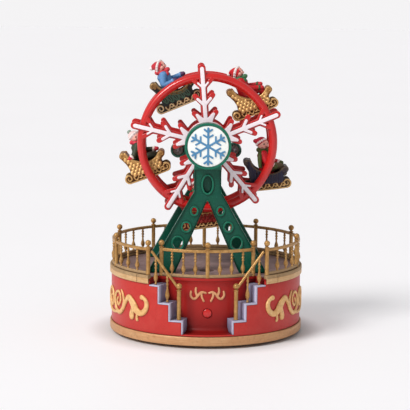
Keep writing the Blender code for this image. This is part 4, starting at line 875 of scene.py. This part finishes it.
def makeRailings():
    front, first = rad(railing["frontPost"]), rad(railing["outerPost"])
    radius, base, knob = railing["outerRadius"], railing["outerBase"], railing["outerBall"]
    makeRailing("railing_front", railing["frontRadius"], railing["frontBase"], railing["frontBall"],
                [-front, 0, front])
    bay = (fullTurn - 2 * first) / railing["bays"]
    angles = [first + k * bay for k in range(railing["bays"] + 1)]
    makeRailing("railing_right", radius, base, knob, angles[0:3])
    makeRailing("railing_back_right", radius, base, knob, angles[2:5], (False, True))
    makeRailing("railing_back_left", radius, base, knob, angles[4:7], (False, False))
    makeRailing("railing_left", radius, base, knob, angles[6:9])


# A sloping rail from its own low post to the first post of the deck
def makeStairRail(side, name):
    radius, angle = railing["stairPost"]
    size = railing["stairRail"]
    lower = onDrum(radius, rad(angle), drum["treads"][0] + play)
    upper = onDrum(railing["outerRadius"], rad(railing["outerPost"]))
    start = Vector((*lower.xy, railing["stairRailBottom"]))
    end = Vector((*upper.xy, railing["stairRailTop"]))
    flat = Vector((*(end - start).xy, 0)).normalized()
    slope = (end - start).normalized()
    stop = end - slope * ((railing["post"] + 0.6 + size * slope.z) / slope.dot(flat))
    parts = [tube([start, stop], (size, size), 16, False)]
    parts.append(moved(post(railing["stairBall"] - lower.z), lower))
    for step, share in railing["stairBalusters"]:
        foot, tread = start.lerp(end, share), drum["treads"][step] + play
        parts.append(moved(baluster(foot.z - tread), (*foot.xy, tread)))
    rail = gathered(parts)
    if side < 0:
        mirrored(rail)
    makePiece(f"gold_stair_rail_{name}", rail, "railGold", [f"stair_rail_{name}"])


makeRailings()
for side, hand in hands:
    makeStairRail(side, hand)

print("scrolls and button")

# Strokes in (degrees of compass angle, height, width), on the right-hand side
scrolls = {
    "wall": {"radius": drum["wallRadius"], "proud": 2, "voxel": 0.34, "finish": "scrollGold", "strokes": [
        [(41.2, 47.2, 4.6), (40, 46.6, 3.6), (38.3, 44.2, 3.6), (37.6, 40, 4.4), (38.8, 34.4, 5),
         (42, 30.8, 5.4), (45.4, 32.6, 6.6), (47.8, 37.5, 7.6), (50.2, 42, 6.4), (53, 44.6, 4.8),
         (56, 38.8, 3.4), (59.4, 30.6, 4), (63.3, 26.2, 4), (67.8, 28.6, 3), (70.2, 36, 2.6),
         (68.8, 44.2, 2.4), (65, 47.4, 2.2), (62.3, 43.6, 2), (62.4, 37.4, 1.9), (65, 33.4, 1.9),
         (67, 37, 1.8), (65.6, 40.6, 1.8)],
        [(47.6, 38, 6), (49, 32.6, 4.6), (49.6, 28.8, 5.6), (49.6, 26.4, 6.2), (49.6, 25.8, 5.6)],
        [(44.2, 31, 3), (45.4, 27, 2.4), (45.2, 23.8, 2.6), (45, 23.4, 2.4)],
        [(59.6, 31, 2.6), (58, 39, 2.4), (59, 45.4, 2.2), (61, 49.6, 1.4)],
        [(64.4, 26.6, 2.4), (72, 24.4, 2.4), (79, 25.4, 2.6), (84.4, 31.5, 2.8), (85, 40, 2.8),
         (81, 47, 2.6), (76, 47, 2.6), (73.3, 41, 2.6), (73.5, 34, 2.4), (76.6, 30.4, 2.2),
         (80, 33.6, 2), (80, 38.4, 1.8), (77.8, 40.2, 1.6)],
    ]},
    "panel": {"radius": drum["panelRadius"], "proud": 0.9, "voxel": 0.2, "finish": "panelScrollGold",
              "strokes": [
        [(11.8, 53.9, 1.4), (12.1, 50.4, 1.5), (10.7, 47.3, 1.6), (8.7, 47.1, 1.7), (7, 49.6, 1.8),
         (5.5, 52.3, 1.7), (3.6, 53.7, 1.6), (1.2, 52.9, 1.3)],
        [(7.4, 50.2, 1.6), (8.4, 54.2, 1.6), (8.2, 57.7, 1.4)],
        [(4.2, 53.2, 1.4), (4, 49.1, 1.5), (2.6, 44.8, 1.3)],
    ]},
}


# Round bars on a flat sheet, with their backs and faces pressed in, melted and wrapped round the drum
def makeScroll(place, side, hand):
    scroll = scrolls[place]
    radius = scroll["radius"]
    parts = []
    for stroke in scroll["strokes"]:
        line = flowing([(rad(a) * radius, z, w / 2 + 0.4) for a, z, w in stroke], 5)
        bar = tube([(p.x, 0, p.y) for p in line], [p.z for p in line], 16)
        for vertex in bar.verts:
            vertex.co.y = max(min(vertex.co.y, 0.35), -scroll["proud"])
        parts.append(bar)
    shape, _ = melted([gathered(parts)], scroll["voxel"], 3)
    if side < 0:
        mirrored(shape)
    for vertex in shape.verts:
        x, y, z = vertex.co
        vertex.co = onDrum(radius - y + 0.1, x / radius, z)
    name = f"{place}_scroll_{hand}"
    makePiece(f"gold_{name}", shape, scroll["finish"], [name], sharp=180)


for side, hand in hands:
    for place in scrolls:
        makeScroll(place, side, hand)

dome = lying(button["dome"], 48, button["place"])
makePiece("redPushButton", dome, "wheelRed", ["button"], "button")

print("frames and medallion")

aFrame = {
    "inner": 45, "outer": 52, "web": 50.5, "border": 2.4, "hub": 22.3, "backHub": 17,
    "neck": 13.7, "neckBottom": 150.6, "crotch": 142.5, "footOuter": 60.4, "footInner": 32.3, "foot": 68.3,
    "neckHole": (0, 158.1, 4.6, 8.6), "rim": 1.9,
    "legHoles": ((13.2, 131.2, 2.6, 3.5), (21.2, 114.9, 3.6, 4.2), (29.7, 98.4, 4.9, 6)),
    "edge": 0.65, "sunk": 0.8, "backing": (46.6, 45.2),
    "cup": [(0, 44), (22.4, 44), (22.8, 44.4), (23.3, 45), (23.3, 58.6), *arc(22.6, 59.3, 0.7, 0, 90, 4),
            *arc(21.4, 59.5, 0.5, 90, 180, 3), (20.9, 57.7), (0, 57.7)],
}
holes = [aFrame["neckHole"], *aFrame["legHoles"], *[(-x, z, a, b) for x, z, a, b in aFrame["legHoles"]]]
axis = (0, 0, axisHeight)


# Neck and legs round the line of the top
def frameOutline(top):
    foot, neck, bottom = aFrame["foot"], aFrame["neck"], aFrame["neckBottom"]
    outer, inner = aFrame["footOuter"], aFrame["footInner"]
    return [(inner, foot), (outer, foot), (neck, bottom), *top,
            (-neck, bottom), (-outer, foot), (-inner, foot), (0, aFrame["crotch"])]


# The sunk field of neck and legs, inside the raised border
def frameField(hub):
    top, neck = axisHeight - hub - 1, aFrame["neck"]
    bm = bmesh.new()
    face = bm.faces.new([bm.verts.new((x, 0, z)) for x, z in frameOutline([(neck, top), (-neck, top)])])
    bmesh.ops.inset_region(bm, faces=[face], thickness=aFrame["border"], use_even_offset=True)
    inner = [(v.co.x, v.co.z) for v in face.verts]
    bm.free()
    return rounded(inner, 1.2)


def makeFrame(name, side, hub):
    drop = math.degrees(math.asin(aFrame["neck"] / hub))
    outline = rounded(frameOutline(arc(0, axisHeight, hub, -90 + drop, 270 - drop, 60)), 2.2)
    openings = holes[0 if side < 0 else 1:]
    inner, web, outer, rim = aFrame["inner"], aFrame["web"], aFrame["outer"], aFrame["rim"]
    raisedBack = aFrame["sunk"] - web
    parts = [plate([outline, *[oval(*hole) for hole in openings]], -web, -inner, 0.5),
             plate([outline, frameField(hub)], -outer, raisedBack, aFrame["edge"])]
    for x, z, a, b in openings:
        lines = [oval(x, z, a + rim, b + rim), oval(x, z, a, b)]
        parts.append(plate(lines, -outer, raisedBack, aFrame["edge"]))
    if side < 0:
        x, z, a, b = aFrame["neckHole"]
        front, back = aFrame["backing"]
        parts.append(plate([oval(x, z, a + 0.8, b + 0.8)], -front, -back, 0.3))
        parts.append(lying(aFrame["cup"], 96, axis))
    else:
        disc = [(0, 46), (hub - 0.2, 46), (hub - 0.2, 51.4), *arc(hub - 0.8, 51.4, 0.6, 0, 90, 3),
                (hub - 2.2, 52), (hub - 2.6, 51.4), (7.4, 51.4), (7, 52), *arc(6.2, 51.9, 0.6, 90, 180, 3),
                (5.2, 51.2), (0, 51.2)]
        parts.append(lying(disc, 72, axis))
    whole = gathered(parts)
    if side > 0:
        mirrored(whole, "Y")
    makePiece(f"green_{name}", whole, "greenPaint", [name])


# One edge of a snowflake arm in (along, across): a straight stem with barbs, and a round end
def armEdge(halfWidth, tip, barbs, steps):
    edge = []
    for root, along, across, half in barbs:
        length = math.hypot(along - root, across)
        ahead, aside = (along - root) / length, across / length
        near, far = (halfWidth - half * ahead) / aside, (halfWidth + half * ahead) / aside
        middle = math.degrees(math.atan2(aside, ahead))
        edge.append((root - half * aside + near * ahead, halfWidth))
        edge += arc(along, across, half, middle + 90, middle - 90, steps)
        edge.append((root + half * aside + far * ahead, halfWidth))
    return edge + arc(tip - halfWidth, 0, halfWidth, 90, 0, 6)


def starOutline(arms, hub, base, halfWidth, tip, barbs, steps, soft):
    edge = armEdge(halfWidth, tip, barbs, steps)[1 if base > halfWidth else 0:]
    arm = [(a, -b) for a, b in edge] + [(a, b) for a, b in reversed(edge)][1:]
    lean, pitch = math.asin(base / hub), fullTurn / arms
    outline = []
    for middle in [k * pitch for k in range(arms)]:
        sine, cosine = math.sin(middle), math.cos(middle)
        outline += [(a * sine + b * cosine, a * cosine - b * sine) for a, b in arm]
        turns = [middle + lean + (pitch - 2 * lean) * s / 8 for s in range(9)]
        outline += [(hub * math.sin(t), hub * math.cos(t)) for t in turns]
    return rounded(outline, soft, 3)


makeFrame("front_frame", -1, aFrame["hub"])
makeFrame("back_frame", 1, aFrame["backHub"])

medallionLine = [(0, 58), (20.3, 58), (20.6, 58.3), (20.6, 59.2), (20.2, 59.6), (16, 60.0), (9, 60.3),
                 (0, 60.4)]
makePiece("whiteMedallion", lying(medallionLine, 96, axis), "medallionWhite", ["medallion"])
flake = {"arms": 6, "hub": 2.4, "base": 1.0, "halfWidth": 1.0, "tip": 19.0, "steps": 6, "soft": 0.5,
         "barbs": ((8.6, 11.4, 4.6, 0.85), (14.1, 16.9, 3.8, 0.85))}
flakeShape = moved(plate([starOutline(**flake)], -60.8, -59.2, 0.25, 2), axis)
makePiece("blueSnowflake", flakeShape, "flakeBlue")

print("wheel")

wheel = {"ringRadius": 71.7, "ringInner": 63, "ringBack": 17, "ringFront": 23.3,
         "starDepths": (20.4, 23.7), "inlayDepths": (24.0, 25.0)}
star = {"arms": 5, "hub": 23, "base": 7.2, "halfWidth": 3.8, "tip": 80.4, "steps": 8, "soft": 1.3,
        "barbs": ((21, 31, 11.1, 2.7), (38.6, 48.6, 9, 2.7), (55.6, 65, 9.4, 2.3))}
inlay = {"arms": 5, "hub": 22.5, "base": 6.6, "halfWidth": 2, "tip": 77.8, "steps": 6, "soft": 0.8,
         "barbs": ((21.5, 29.3, 8.4, 1.6), (38.6, 45.4, 6.6, 1.45), (56.3, 61.6, 5.1, 0.95))}
wheelPlace = Matrix.Translation(axis) @ Matrix.Rotation(wheelTurn, 4, "Y")


# A ring with its star, and the white inlay on the star's outer face
def makeWheelSide(name, white, side):
    r, inner, back, front = wheel["ringRadius"], wheel["ringInner"], wheel["ringBack"], wheel["ringFront"]
    line = rounded([(inner, back), (r, back), (r, front - 2.6), (r - 2.7, front + 0.3),
                    (inner + 2.7, front + 0.3), (inner, front - 2.6)], 2.3, 6)
    near, far = wheel["starDepths"]
    whole = gathered([plate([starOutline(**star)], -far, -near, 0.7, 3), lying(line, 144)])
    near, far = wheel["inlayDepths"]
    inset = plate([starOutline(**inlay)], -far, -near, 0.3, 2)
    if side > 0:
        mirrored(whole, "Y")
        mirrored(inset, "Y")
    makePiece(f"red_{name}", inPlace(whole, wheelPlace), "wheelRed", [name], "wheel")
    makePiece(f"white_{white}", inPlace(inset, wheelPlace), "whitePaint", [white], "wheel")


makeWheelSide("front_wheel", "front_star", -1)
makeWheelSide("back_wheel", "back_star", 1)
tubeLine = [(2.3, -20.1), (9, -20.1), (9, -18.8), (7.2, -18), (7, -17), (7, 17), (7.2, 18), (9, 18.8),
            (9, 20.1), (2.3, 20.1)]
hubTube = inPlace(lying(tubeLine, 48), wheelPlace)
makePiece("red_hub_tube", hubTube, "wheelRed", ["hub_tube"], "wheel")
finishNode("steel", "axle", "motor")
finishNode("brass", "drive_gear", "motor_pinion", "front_bush", "back_bush")

print("gear case and what is inside")

gearCase = {
    "below": 13, "earOut": 29.6, "screwCircle": 18.6,
    "arm": ((20, -7), (28, -5.6), (28, 5.6), (20, 7)), "armDepths": (36.6, 44),
    "shell": [(0, 30.1), (21.4, 30.1), (22, 30.7), (22, 43.4), *arc(20.8, 43.5, 1.2, 0, 90, 4), (0, 44.7)],
    "lug": [(0, 35.7), *arc(7.3, 36.4, 0.7, -90, 0, 3), (8, 44.2), (7.5, 44.7), (0, 44.7)],
    "dish": [(0, 30), (6, 30), (6, 40.5), (0, 40.5)],
    "lid": [(2.9, 28), (21.2, 28), *arc(21.2, 28.8, 0.8, -90, 0, 3), (22, 29.4), (2.9, 29.4)],
    "lidScrew": [(0, 27.2), (1.1, 27.25), (1.6, 27.6), (1.6, 28.4), (0, 28.4)],
    "earScrew": [(0, 37.4), (1.6, 37.5), (2.6, 38.1), (2.8, 38.9), (2.8, 40.7), (0, 40.7)],
    "washer": [(0, 39.3), (5, 39.3), (5.5, 39.8), (5.5, 40.7), (0, 40.7)],
}


def makeCase():
    def turnedPart(key, steps, x=0.0, z=0.0):
        return lying(gearCase[key], steps, (x, 0, z), True)

    def makeInCase(name, parts, finish, nodes=()):
        shape = moved(gathered(parts), (0, 0, axisHeight - gearCase["below"]))
        makePiece(name, shape, finish, nodes)

    ears = [side * gearCase["earOut"] for side in (-1, 1)]
    parts = [turnedPart("shell", 72)]
    for side, ear in zip((-1, 1), ears):
        arm = raised([(side * x, y) for x, y in gearCase["arm"]], *gearCase["armDepths"])
        parts.append(carved(turnedPart("lug", 48, ear), [turnedPart("dish", 40, ear)]))
        parts.append(carved(turned(arm, rad(-90), "X"), [turnedPart("dish", 40, ear)]))
    makeInCase("green_gear_case", parts, "caseGreen", ["gear_case"])
    makeInCase("green_gear_case_cover", [turnedPart("lid", 72)], "caseGreen",
               ["gear_case_cover"])
    out, turns = gearCase["screwCircle"], [rad(45 + 90 * k) for k in range(4)]
    screws = [turnedPart("lidScrew", 16, out * math.sin(t), out * math.cos(t)) for t in turns]
    screws += [turnedPart("earScrew", 24, ear) for ear in ears]
    makeInCase("grey_case_washers", [turnedPart("washer", 32, ear) for ear in ears], "greyWasher")
    makeInCase("steel_case_screws", screws, "steel")


makeCase()
finishNode("blackPlastic", "bottom_cover", "battery_door", "speaker", "button_switch")
finishNode("cellSleeve", "battery_pack")
finishNode("circuitBoard", "circuit_board")

print("sleighs")

# Drawn about the pin, facing +X
sleigh = {
    "pinCircle": 67.4, "firstPin": -31, "tilts": (22.8, 21, 6.2, 7.5, 20), "half": 12.5, "wall": 2,
    "backCurl": (-19.8, 7.0, 3.7), "frontCurl": (18.6, -3.2, 3.5), "webTop": -15.8,
    "runnerY": 11.3, "runnerFront": (18.8, -17.2, 5.6), "runnerBack": (-21.2, -17.4, 5.6),
    "side": [*arc(-19.8, 7.0, 3.4, 20, 210, 12), (-19.2, -2), (-17.6, -8), (-18.2, -13), (-17, -17),
             (14, -17), (16.2, -14), (16.4, -9), *arc(18.6, -3.2, 3.4, -60, 160, 12), (10.5, -6),
             (1.8, -7.3), (-8.4, -3)],
    "seat": [(-12.6, 22), (-12.6, 0), (-11.8, -8.5), (-3, -9.5), (-1, -15), (12.4, -15), (13.2, -8),
             (13.8, 22)],
    "rim": [(-16.6, 8.6), (-14.4, 2.4), (-8.6, -2.6), (-3, -5.6), (2, -7), (7, -7), (12, -5.4), (16, -2.2)],
    "runnerScroll": [(-3.9, -17.3), (-3.3, -19.6), (-1.6, -20.6), (-0.1, -19.2), (0.8, -17.2), (2.5, -16.3),
                     (3.8, -17.8), (3, -19.8), (1.7, -19.2)],
}


def sleighPlace(k):
    r, turn = sleigh["pinCircle"], rad(sleigh["firstPin"] + 72 * k)
    pin = Vector((r * math.sin(turn), 0, axisHeight + r * math.cos(turn)))
    return Matrix.Translation(pin) @ Matrix.Rotation(rad(-sleigh["tilts"][k]), 4, "Y")


# A bar that winds from an outer to an inner radius and grows thinner
def spiral(x, z, outer, inner, start, turns, thick, y, tip=0.6):
    count = int(16 * abs(turns))
    line, sizes = [], []
    for share in [k / count for k in range(count + 1)]:
        r, t = outer + (inner - outer) * share, rad(start) + fullTurn * turns * share
        line.append((x + r * math.cos(t), y, z + r * math.sin(t)))
        sizes.append(thick * (1 - (1 - tip) * share))
    return tube(line, sizes, 10)


# A bar along (x, z) points at one depth
def bar(points, size, y, sides=10):
    return tube(flowing([(x, y, z) for x, z in points], 4), (size, size), sides)


def rimHeight(x):
    return np.interp(x, *zip(*sleigh["rim"]))


# Rows of raised beads between the back edge and the rim
def quilting(side):
    parts = []
    for row in range(9):
        z = -15.2 + 3.0 * row
        edge = np.interp(z, [-18, -13, -8, -2, 6], [-17.4, -18, -17.4, -18.6, -20.4])
        for column in range(10):
            x = -18.2 + 4.3 * column + 2.15 * (row % 2)
            if edge + 0.9 < x < 16 and z < rimHeight(x) - 1.6:
                bead = turned(ball((0, 0, 0), 2.05, (0.95, 0.78, 1.12), 12), rad(24), "Y")
                parts.append(moved(bead, (x, side * 12.4, z)))
    return parts


# Upright ribs that end at the rim
def ribs(side):
    parts = []
    for x in [-17.2 + 2.6 * column for column in range(13)]:
        top, lean = rimHeight(x) - 1, -0.8 if x < -10 else 0
        line = [(x, -15.4), (x + lean * 0.4, (top - 15.4) / 2), (x + lean, top)]
        parts.append(bar(line, 1.3, side * 12.3, 8))
    return parts


# Slanting oval rings with a bar across each
def medallions(side):
    parts = []
    for x, z, tall in ((-14, -9, 5), (-8, -10.4, 4.6), (-2, -11.4, 4), (4, -11.6, 3.8), (10, -11, 3.8)):
        ring = [(p - (q - z) * 0.3, side * 12.6, q) for p, q in oval(x, z, 2.3, tall, 18)]
        parts.append(tube(ring + ring[:2], (0.55, 0.55), 8, False))
        parts.append(bar([(x + 0.8, z - 2.6), (x, z), (x - 0.8, z + 2.6)], 0.5, side * 12.7, 8))
    return parts


patterns = {"quilt": quilting, "ribs": ribs, "ovals": medallions}


# Body, rim, curls, runner, the web behind its scrolls as a dark sheet of painted shade, and the pattern on
# the sides
def sleighParts(pattern):
    half, thick, line = sleigh["half"], sleigh["wall"], sleigh["rim"]
    seat = turned(raised(sleigh["seat"], thick - half, half - thick), rad(90), "X")
    body = [carved(plate([rounded(sleigh["side"], 1.2)], -half, half, 0.9, 3), [seat])]
    rim, curls, runner, web, ornament = [], [], [], [], []
    for side in (-1, 1):
        ornament += patterns[pattern](side)
        rim.append(bar(line, 1.3, side * 12.1))
        rim.append(bar([(x - 0.3, z - 2.3) for x, z in line[1:-1]], 0.5, side * 12.7))
        curls.append(spiral(-19.8, 7.0, 3.0, 0.6, -70, 1.6, 0.95, side * 12.4))
        curls.append(spiral(18.6, -3.2, 2.8, 0.5, 230, -1.5, 0.9, side * 12.4))
        y = side * sleigh["runnerY"]
        for (x, z, r), turns in ((sleigh["runnerFront"], 1.35), (sleigh["runnerBack"], -1.35)):
            runner.append(spiral(x, z, r - 1.0, 1.2, -90, turns, 1.0, y, 0.75))
            # Discs inside the runner's curls, dark as painted shade
            web.append(lying([(0, -1), (r - 1, -1), (r - 1, 1), (0, 1)], 24, (x, y - side * 0.4, z)))
        runner.append(bar([(-21, -22), (-8, -22.2), (8, -22.2), (18.6, -21.8)], 0.85, y))
        for middle in [-11.9 + 8.2 * k for k in range(4)]:
            runner.append(bar([(middle + x, z) for x, z in sleigh["runnerScroll"]], 0.52, y * 1.1, 8))
        low, high = sorted((y - side * 1.2, y + side * 0.5))
        # A dark sheet of painted shade behind the runner's scrolls
        web.append(block((-19, low, -22), (17, high, sleigh["webTop"])))
    for x, z, r in (sleigh["backCurl"], sleigh["frontCurl"]):
        roll = [(0, -12.4), (r - 0.5, -12.4), (r, -11.9), (r, 11.9), (r - 0.5, 12.4), (0, 12.4)]
        curls.append(lying(roll, 28, (x, 0, z)))
    # Stretchers between the runners, in the web's dark colour of painted shade
    web += [block((x - 1.6, -11, -22.2), (x + 1.6, 11, -16)) for x in (-13, 11)]
    return [gathered(group) for group in (body, rim, curls, runner, web, ornament)]


# Paints in the order of the parts above; a fourth number says how golden
# The fifth paint of each, the web's, is dark: painted shade behind the scrolls
sleighPaint = {
    "gold": ((120, 74, 32), (200, 152, 90), (176, 128, 72), (214, 166, 104), (76, 42, 16), (222, 174, 110)),
    "green": ((24, 30, 28, 0.1), (120, 88, 48, 0.7), (130, 94, 52, 0.8), (220, 186, 140, 0.7),
              (30, 22, 12, 0.1), (64, 92, 74, 0.1)),
    "red": ((140, 14, 16, 0.1), (196, 146, 88), (186, 136, 78), (214, 166, 108), (84, 10, 10, 0.1),
            (150, 18, 20, 0.1)),
    "navy": ((20, 20, 38, 0.1), (62, 50, 46, 0.2), (58, 48, 50, 0.2), (190, 150, 96, 0.8), (44, 30, 18, 0.2),
             (26, 27, 52, 0.1)),
}
sleighLooks = (("green", "ovals", "sleigh_green"), ("gold", "quilt", "sleigh_gold"),
               ("navy", "ribs", "sleigh_navy"), ("red", "quilt", "sleigh_gold"),
               ("gold", "quilt", "sleigh_gold"))
moulds = {pattern: melted(sleighParts(pattern), 0.42) for pattern in patterns}

for k, (tint, pattern, slot) in enumerate(sleighLooks):
    name = f"sleigh_{k + 1}"
    mould, owners = moulds[pattern]
    shape = inPlace(mould.copy(), sleighPlace(k))
    piece = makePiece(f"{tint}_{name}", shape, "castPaint", [name], name, 180)
    painted(piece, [paint(*each) for each in sleighPaint[tint]], owners)
finishNode("steel", *[f"sleigh_pin_{k}" for k in range(1, 6)])

print("riders")

everyRider = {
    "shift": 0, "hatAxis": (-0.76, 0.4, 0.5), "droop": (-0.6, 0, -2.4), "face": (0.72, -0.68, -0.12),
    "brim": 0.5, "farElbow": (-1, 7.4, 6), "seat": Vector((-4.6, 0, -8)), "head": Vector((-2.9, -0.3, 21.4)),
    "skin": (236, 172, 156), "lips": (196, 84, 84), "eye": (58, 34, 34), "trim": (240, 226, 222),
}
riders = {
    1: {"lean": -6, "build": (1.2, 1.12, 1.06), "slot": "coat_blue", "coat": (92, 138, 186),
        "scarf": (200, 52, 62), "mitten": (84, 44, 84), "cuff": (120, 160, 206), "hat": (190, 44, 56),
        "pom": (238, 226, 226), "lap": (80, 122, 168),
        "near": ((-7, -8, 4), (1, -8.4, 3)), "farHand": (9, 4.4, 4.6)},
    2: {"lean": -5, "build": (1.2, 1.12, 1.07), "slot": "coat_red", "coat": (192, 26, 34),
        "scarf": (58, 110, 70), "mitten": (206, 40, 52), "cuff": (60, 88, 56), "hat": (200, 36, 42),
        "pom": (240, 228, 226), "lap": (176, 26, 34),
        "near": ((-1.5, -7.6, 5), (8, -5.6, 0)), "farHand": (8.4, 4.4, 2.6)},
    3: {"lean": -6, "build": (1.18, 1.14, 1.08), "slot": "coat_red", "coat": (200, 24, 36),
        "scarf": (72, 84, 34), "mitten": (70, 80, 36), "cuff": (230, 200, 200), "hat": (170, 24, 46),
        "pom": (170, 24, 46), "lap": (92, 76, 52),
        "near": ((-3, -8, 4.6), (1.6, -8.6, 0.6)), "farHand": (7.6, 4.4, 1), "shift": 4.4,
        "hatAxis": (-0.4, 0.28, 0.88), "droop": (-2.4, 0, -3), "face": (0.5, -0.85, -0.1), "brim": 2.7,
        "scarfEnd": ((-6.6, -4.4, 15), (-8.2, -7.4, 11), (-9, -9, 6), (-9.4, -9.6, 2))},
    4: {"lean": 0, "build": (1.12, 1.1, 1.04), "slot": "coat_green", "coat": (186, 30, 36),
        "scarf": (60, 104, 66), "mitten": (50, 84, 56), "cuff": (236, 224, 222), "hat": (188, 32, 40),
        "pom": (240, 228, 226), "lap": (150, 28, 34),
        "near": ((-2, -7.6, 5), (7.2, -5.6, 1)), "farHand": (8, 4.4, 2.6),
        "hatAxis": (-0.6, 0.3, 0.74), "droop": (-1, 0, -2), "face": (0.7, -0.7, -0.1), "brim": 1.5},
    5: {"lean": 1, "build": (1.16, 1.12, 0.98), "slot": "coat_green", "coat": (56, 64, 44),
        "scarf": (214, 50, 72), "mitten": (204, 36, 60), "cuff": (244, 224, 216), "hat": (232, 200, 196),
        "pom": (136, 152, 136), "lap": (54, 56, 40),
        "near": ((-8.4, -8, 5), (-11.6, -9.4, 3.4)), "farHand": (9, 4.6, 3), "shift": 1,
        "hatAxis": (-0.5, 0.3, 0.82), "droop": (0.2, 0, 0), "face": (0.42, -0.9, -0.1), "brim": 2.4},
}
partPaints = ("coat", "scarf", "mitten", "cuff", "lap", "skin", "eye", "lips", "hat", "trim", "pom")


# A ring made about Z whose axis is turned to point along a direction
def torus(major, minor, direction, place, steps=28, sides=12):
    turns = [fullTurn * k / sides for k in range(sides)]
    ring = lathe([(major + minor * math.cos(t), minor * math.sin(t)) for t in turns], steps)
    turn = Vector((0, 0, 1)).rotation_difference(Vector(direction)).to_matrix()
    bmesh.ops.rotate(ring, cent=(0, 0, 0), matrix=turn, verts=ring.verts)
    return moved(ring, place)


# Sleeves, cuffs and mittens
def armParts(own):
    coat, cuffs, mittens = [], [], []
    for side, joints in ((-1, own["near"]), (1, (own["farElbow"], own["farHand"]))):
        elbow, hand = (Vector(p) for p in joints)
        coat.append(tube(flowing([(-3.9, side * 4.8, 12.6), elbow, hand], 6), (3.5, 2.3), 14))
        reach = (hand - elbow).normalized()
        cuffs.append(torus(1.8, 1.0, reach, hand, 20, 10))
        mittens.append(ball(hand + reach * 2.3, 2.3, (1.1, 0.95, 1), 14))
        mittens.append(ball(hand + reach * 1.4 + Vector((0.2, side * 0.4, 1.8)), 0.9, sides=10))
    return coat, cuffs, mittens


# A plain doll's head: skull with nose and cheeks, eyes and mouth
def headParts(own, head):
    face = Vector(own["face"]).normalized()
    across = face.cross(Vector((0, 0, 1))).normalized()
    up = across.cross(face).normalized()
    skull = [ball(head, 5.1, (0.98, 0.98, 1.06), 24), ball(head + face * 4.9 - up * 0.5, 0.85, sides=12)]
    skull += [ball(head + face * 3.7 + across * side * 2.2 - up * 1.4, 1.5, sides=12) for side in (-1, 1)]
    eyes = [ball(head + face * 4.55 + across * side * 1.6 + up * 0.8, 0.62, (1, 1, 1.15), 10)
            for side in (-1, 1)]
    return skull, eyes, [ball(head + face * 4.5 - up * 2.1, 0.7, (1.2, 1.2, 0.7), 10)]


# A knitted cap that tapers to its pom, with a brim of small tufts
def hatParts(own, head):
    hat, droop, low = Vector(own["hatAxis"]).normalized(), Vector(own["droop"]), own["brim"]
    tip = head + hat * 7.2 + droop
    tail = flowing([head + hat * 3.6, head + hat * 5.6 + droop * 0.3, tip], 5)
    cap = [ball(head + hat * low * 0.9, 5.3, sides=24), tube(tail, (4.2, 1.7), 14)]
    aside, beyond = hat.orthogonal().normalized(), hat.cross(hat.orthogonal()).normalized()
    reach = math.sqrt(5.2 ** 2 - low ** 2)
    brim = [torus(reach, 1.05, hat, head + hat * low, 34, 12)]
    for t in [fullTurn * k / 15 for k in range(15)]:
        tuft = head + hat * low + (aside * math.cos(t) + beyond * math.sin(t)) * (reach + 0.25)
        brim.append(ball(tuft, 1.2, sides=8))
    return cap, brim, [ball(tip + hat * 1.2, 2.1, sides=14)]


def riderParts(own):
    spine = ((-4.4, 0, -7.6), (-4.6, 0, -3), (-4.6, 0, 2), (-4.2, 0, 7), (-3.9, 0, 11.4), (-3.6, 0, 14.6))
    girth = np.interp(np.linspace(0, 5, 16), range(6), [6.4, 6.3, 5.6, 5.7, 6.1, 4.2])
    sleeves, cuffs, mittens = armParts(own)
    coat = [tube(flowing(spine, 3), girth, 20), *sleeves]
    scarf = [torus(3.6, 1.8, (0.22, -0.1, 1), (-3.5, 0, 16), 30, 12),
             ball((1.2, -3.4, 15.4), 2.7, (1.05, 1, 0.9), 14),
             ball((-7.6, -1.6, 17.2), 2.4, (0.9, 1, 1), 14),
             ball((0.2, -4.8, 12.4), 1.7, (0.9, 0.8, 1.4), 12)]
    if "scarfEnd" in own:
        scarf.append(tube(flowing(own["scarfEnd"], 4), (2.0, 1.7), 12))
    lap = []
    for side in (-1, 1):
        leg = ((-4, side * 3, -4), (3, side * 3.6, -1.6), (8.6, side * 3.6, -3), (10.4, side * 3.5, -9.6))
        lap.append(tube(flowing(leg, 4), (4.2, 2.6), 14))
    skull, eyes, mouth = headParts(own, own["head"])
    cap, brim, pom = hatParts(own, own["head"])
    groups = (coat, scarf, mittens, cuffs, lap, skull, eyes, mouth, cap, brim, pom)
    return [gathered(group) for group in groups]


for k, rider in riders.items():
    own = {**everyRider, **rider}
    seat = Matrix.Translation(own["seat"])
    lean, build = Matrix.Rotation(rad(own["lean"]), 4, "Y"), Matrix.Diagonal((*own["build"], 1))
    shift = Matrix.Translation((own["shift"], 0, 0))
    place = sleighPlace(k - 1) @ shift @ seat @ lean @ build @ seat.inverted()
    shape, owners = melted(riderParts(own), 0.3)
    inPlace(shape, place)
    piece = makePiece(f"rider_{k}", shape, "coatPaint", [f"figure_{k}"], f"sleigh_{k}", 180)
    painted(piece, [paint(*own[key], 0) for key in partPaints], owners, 8, 0.45)

print("done")
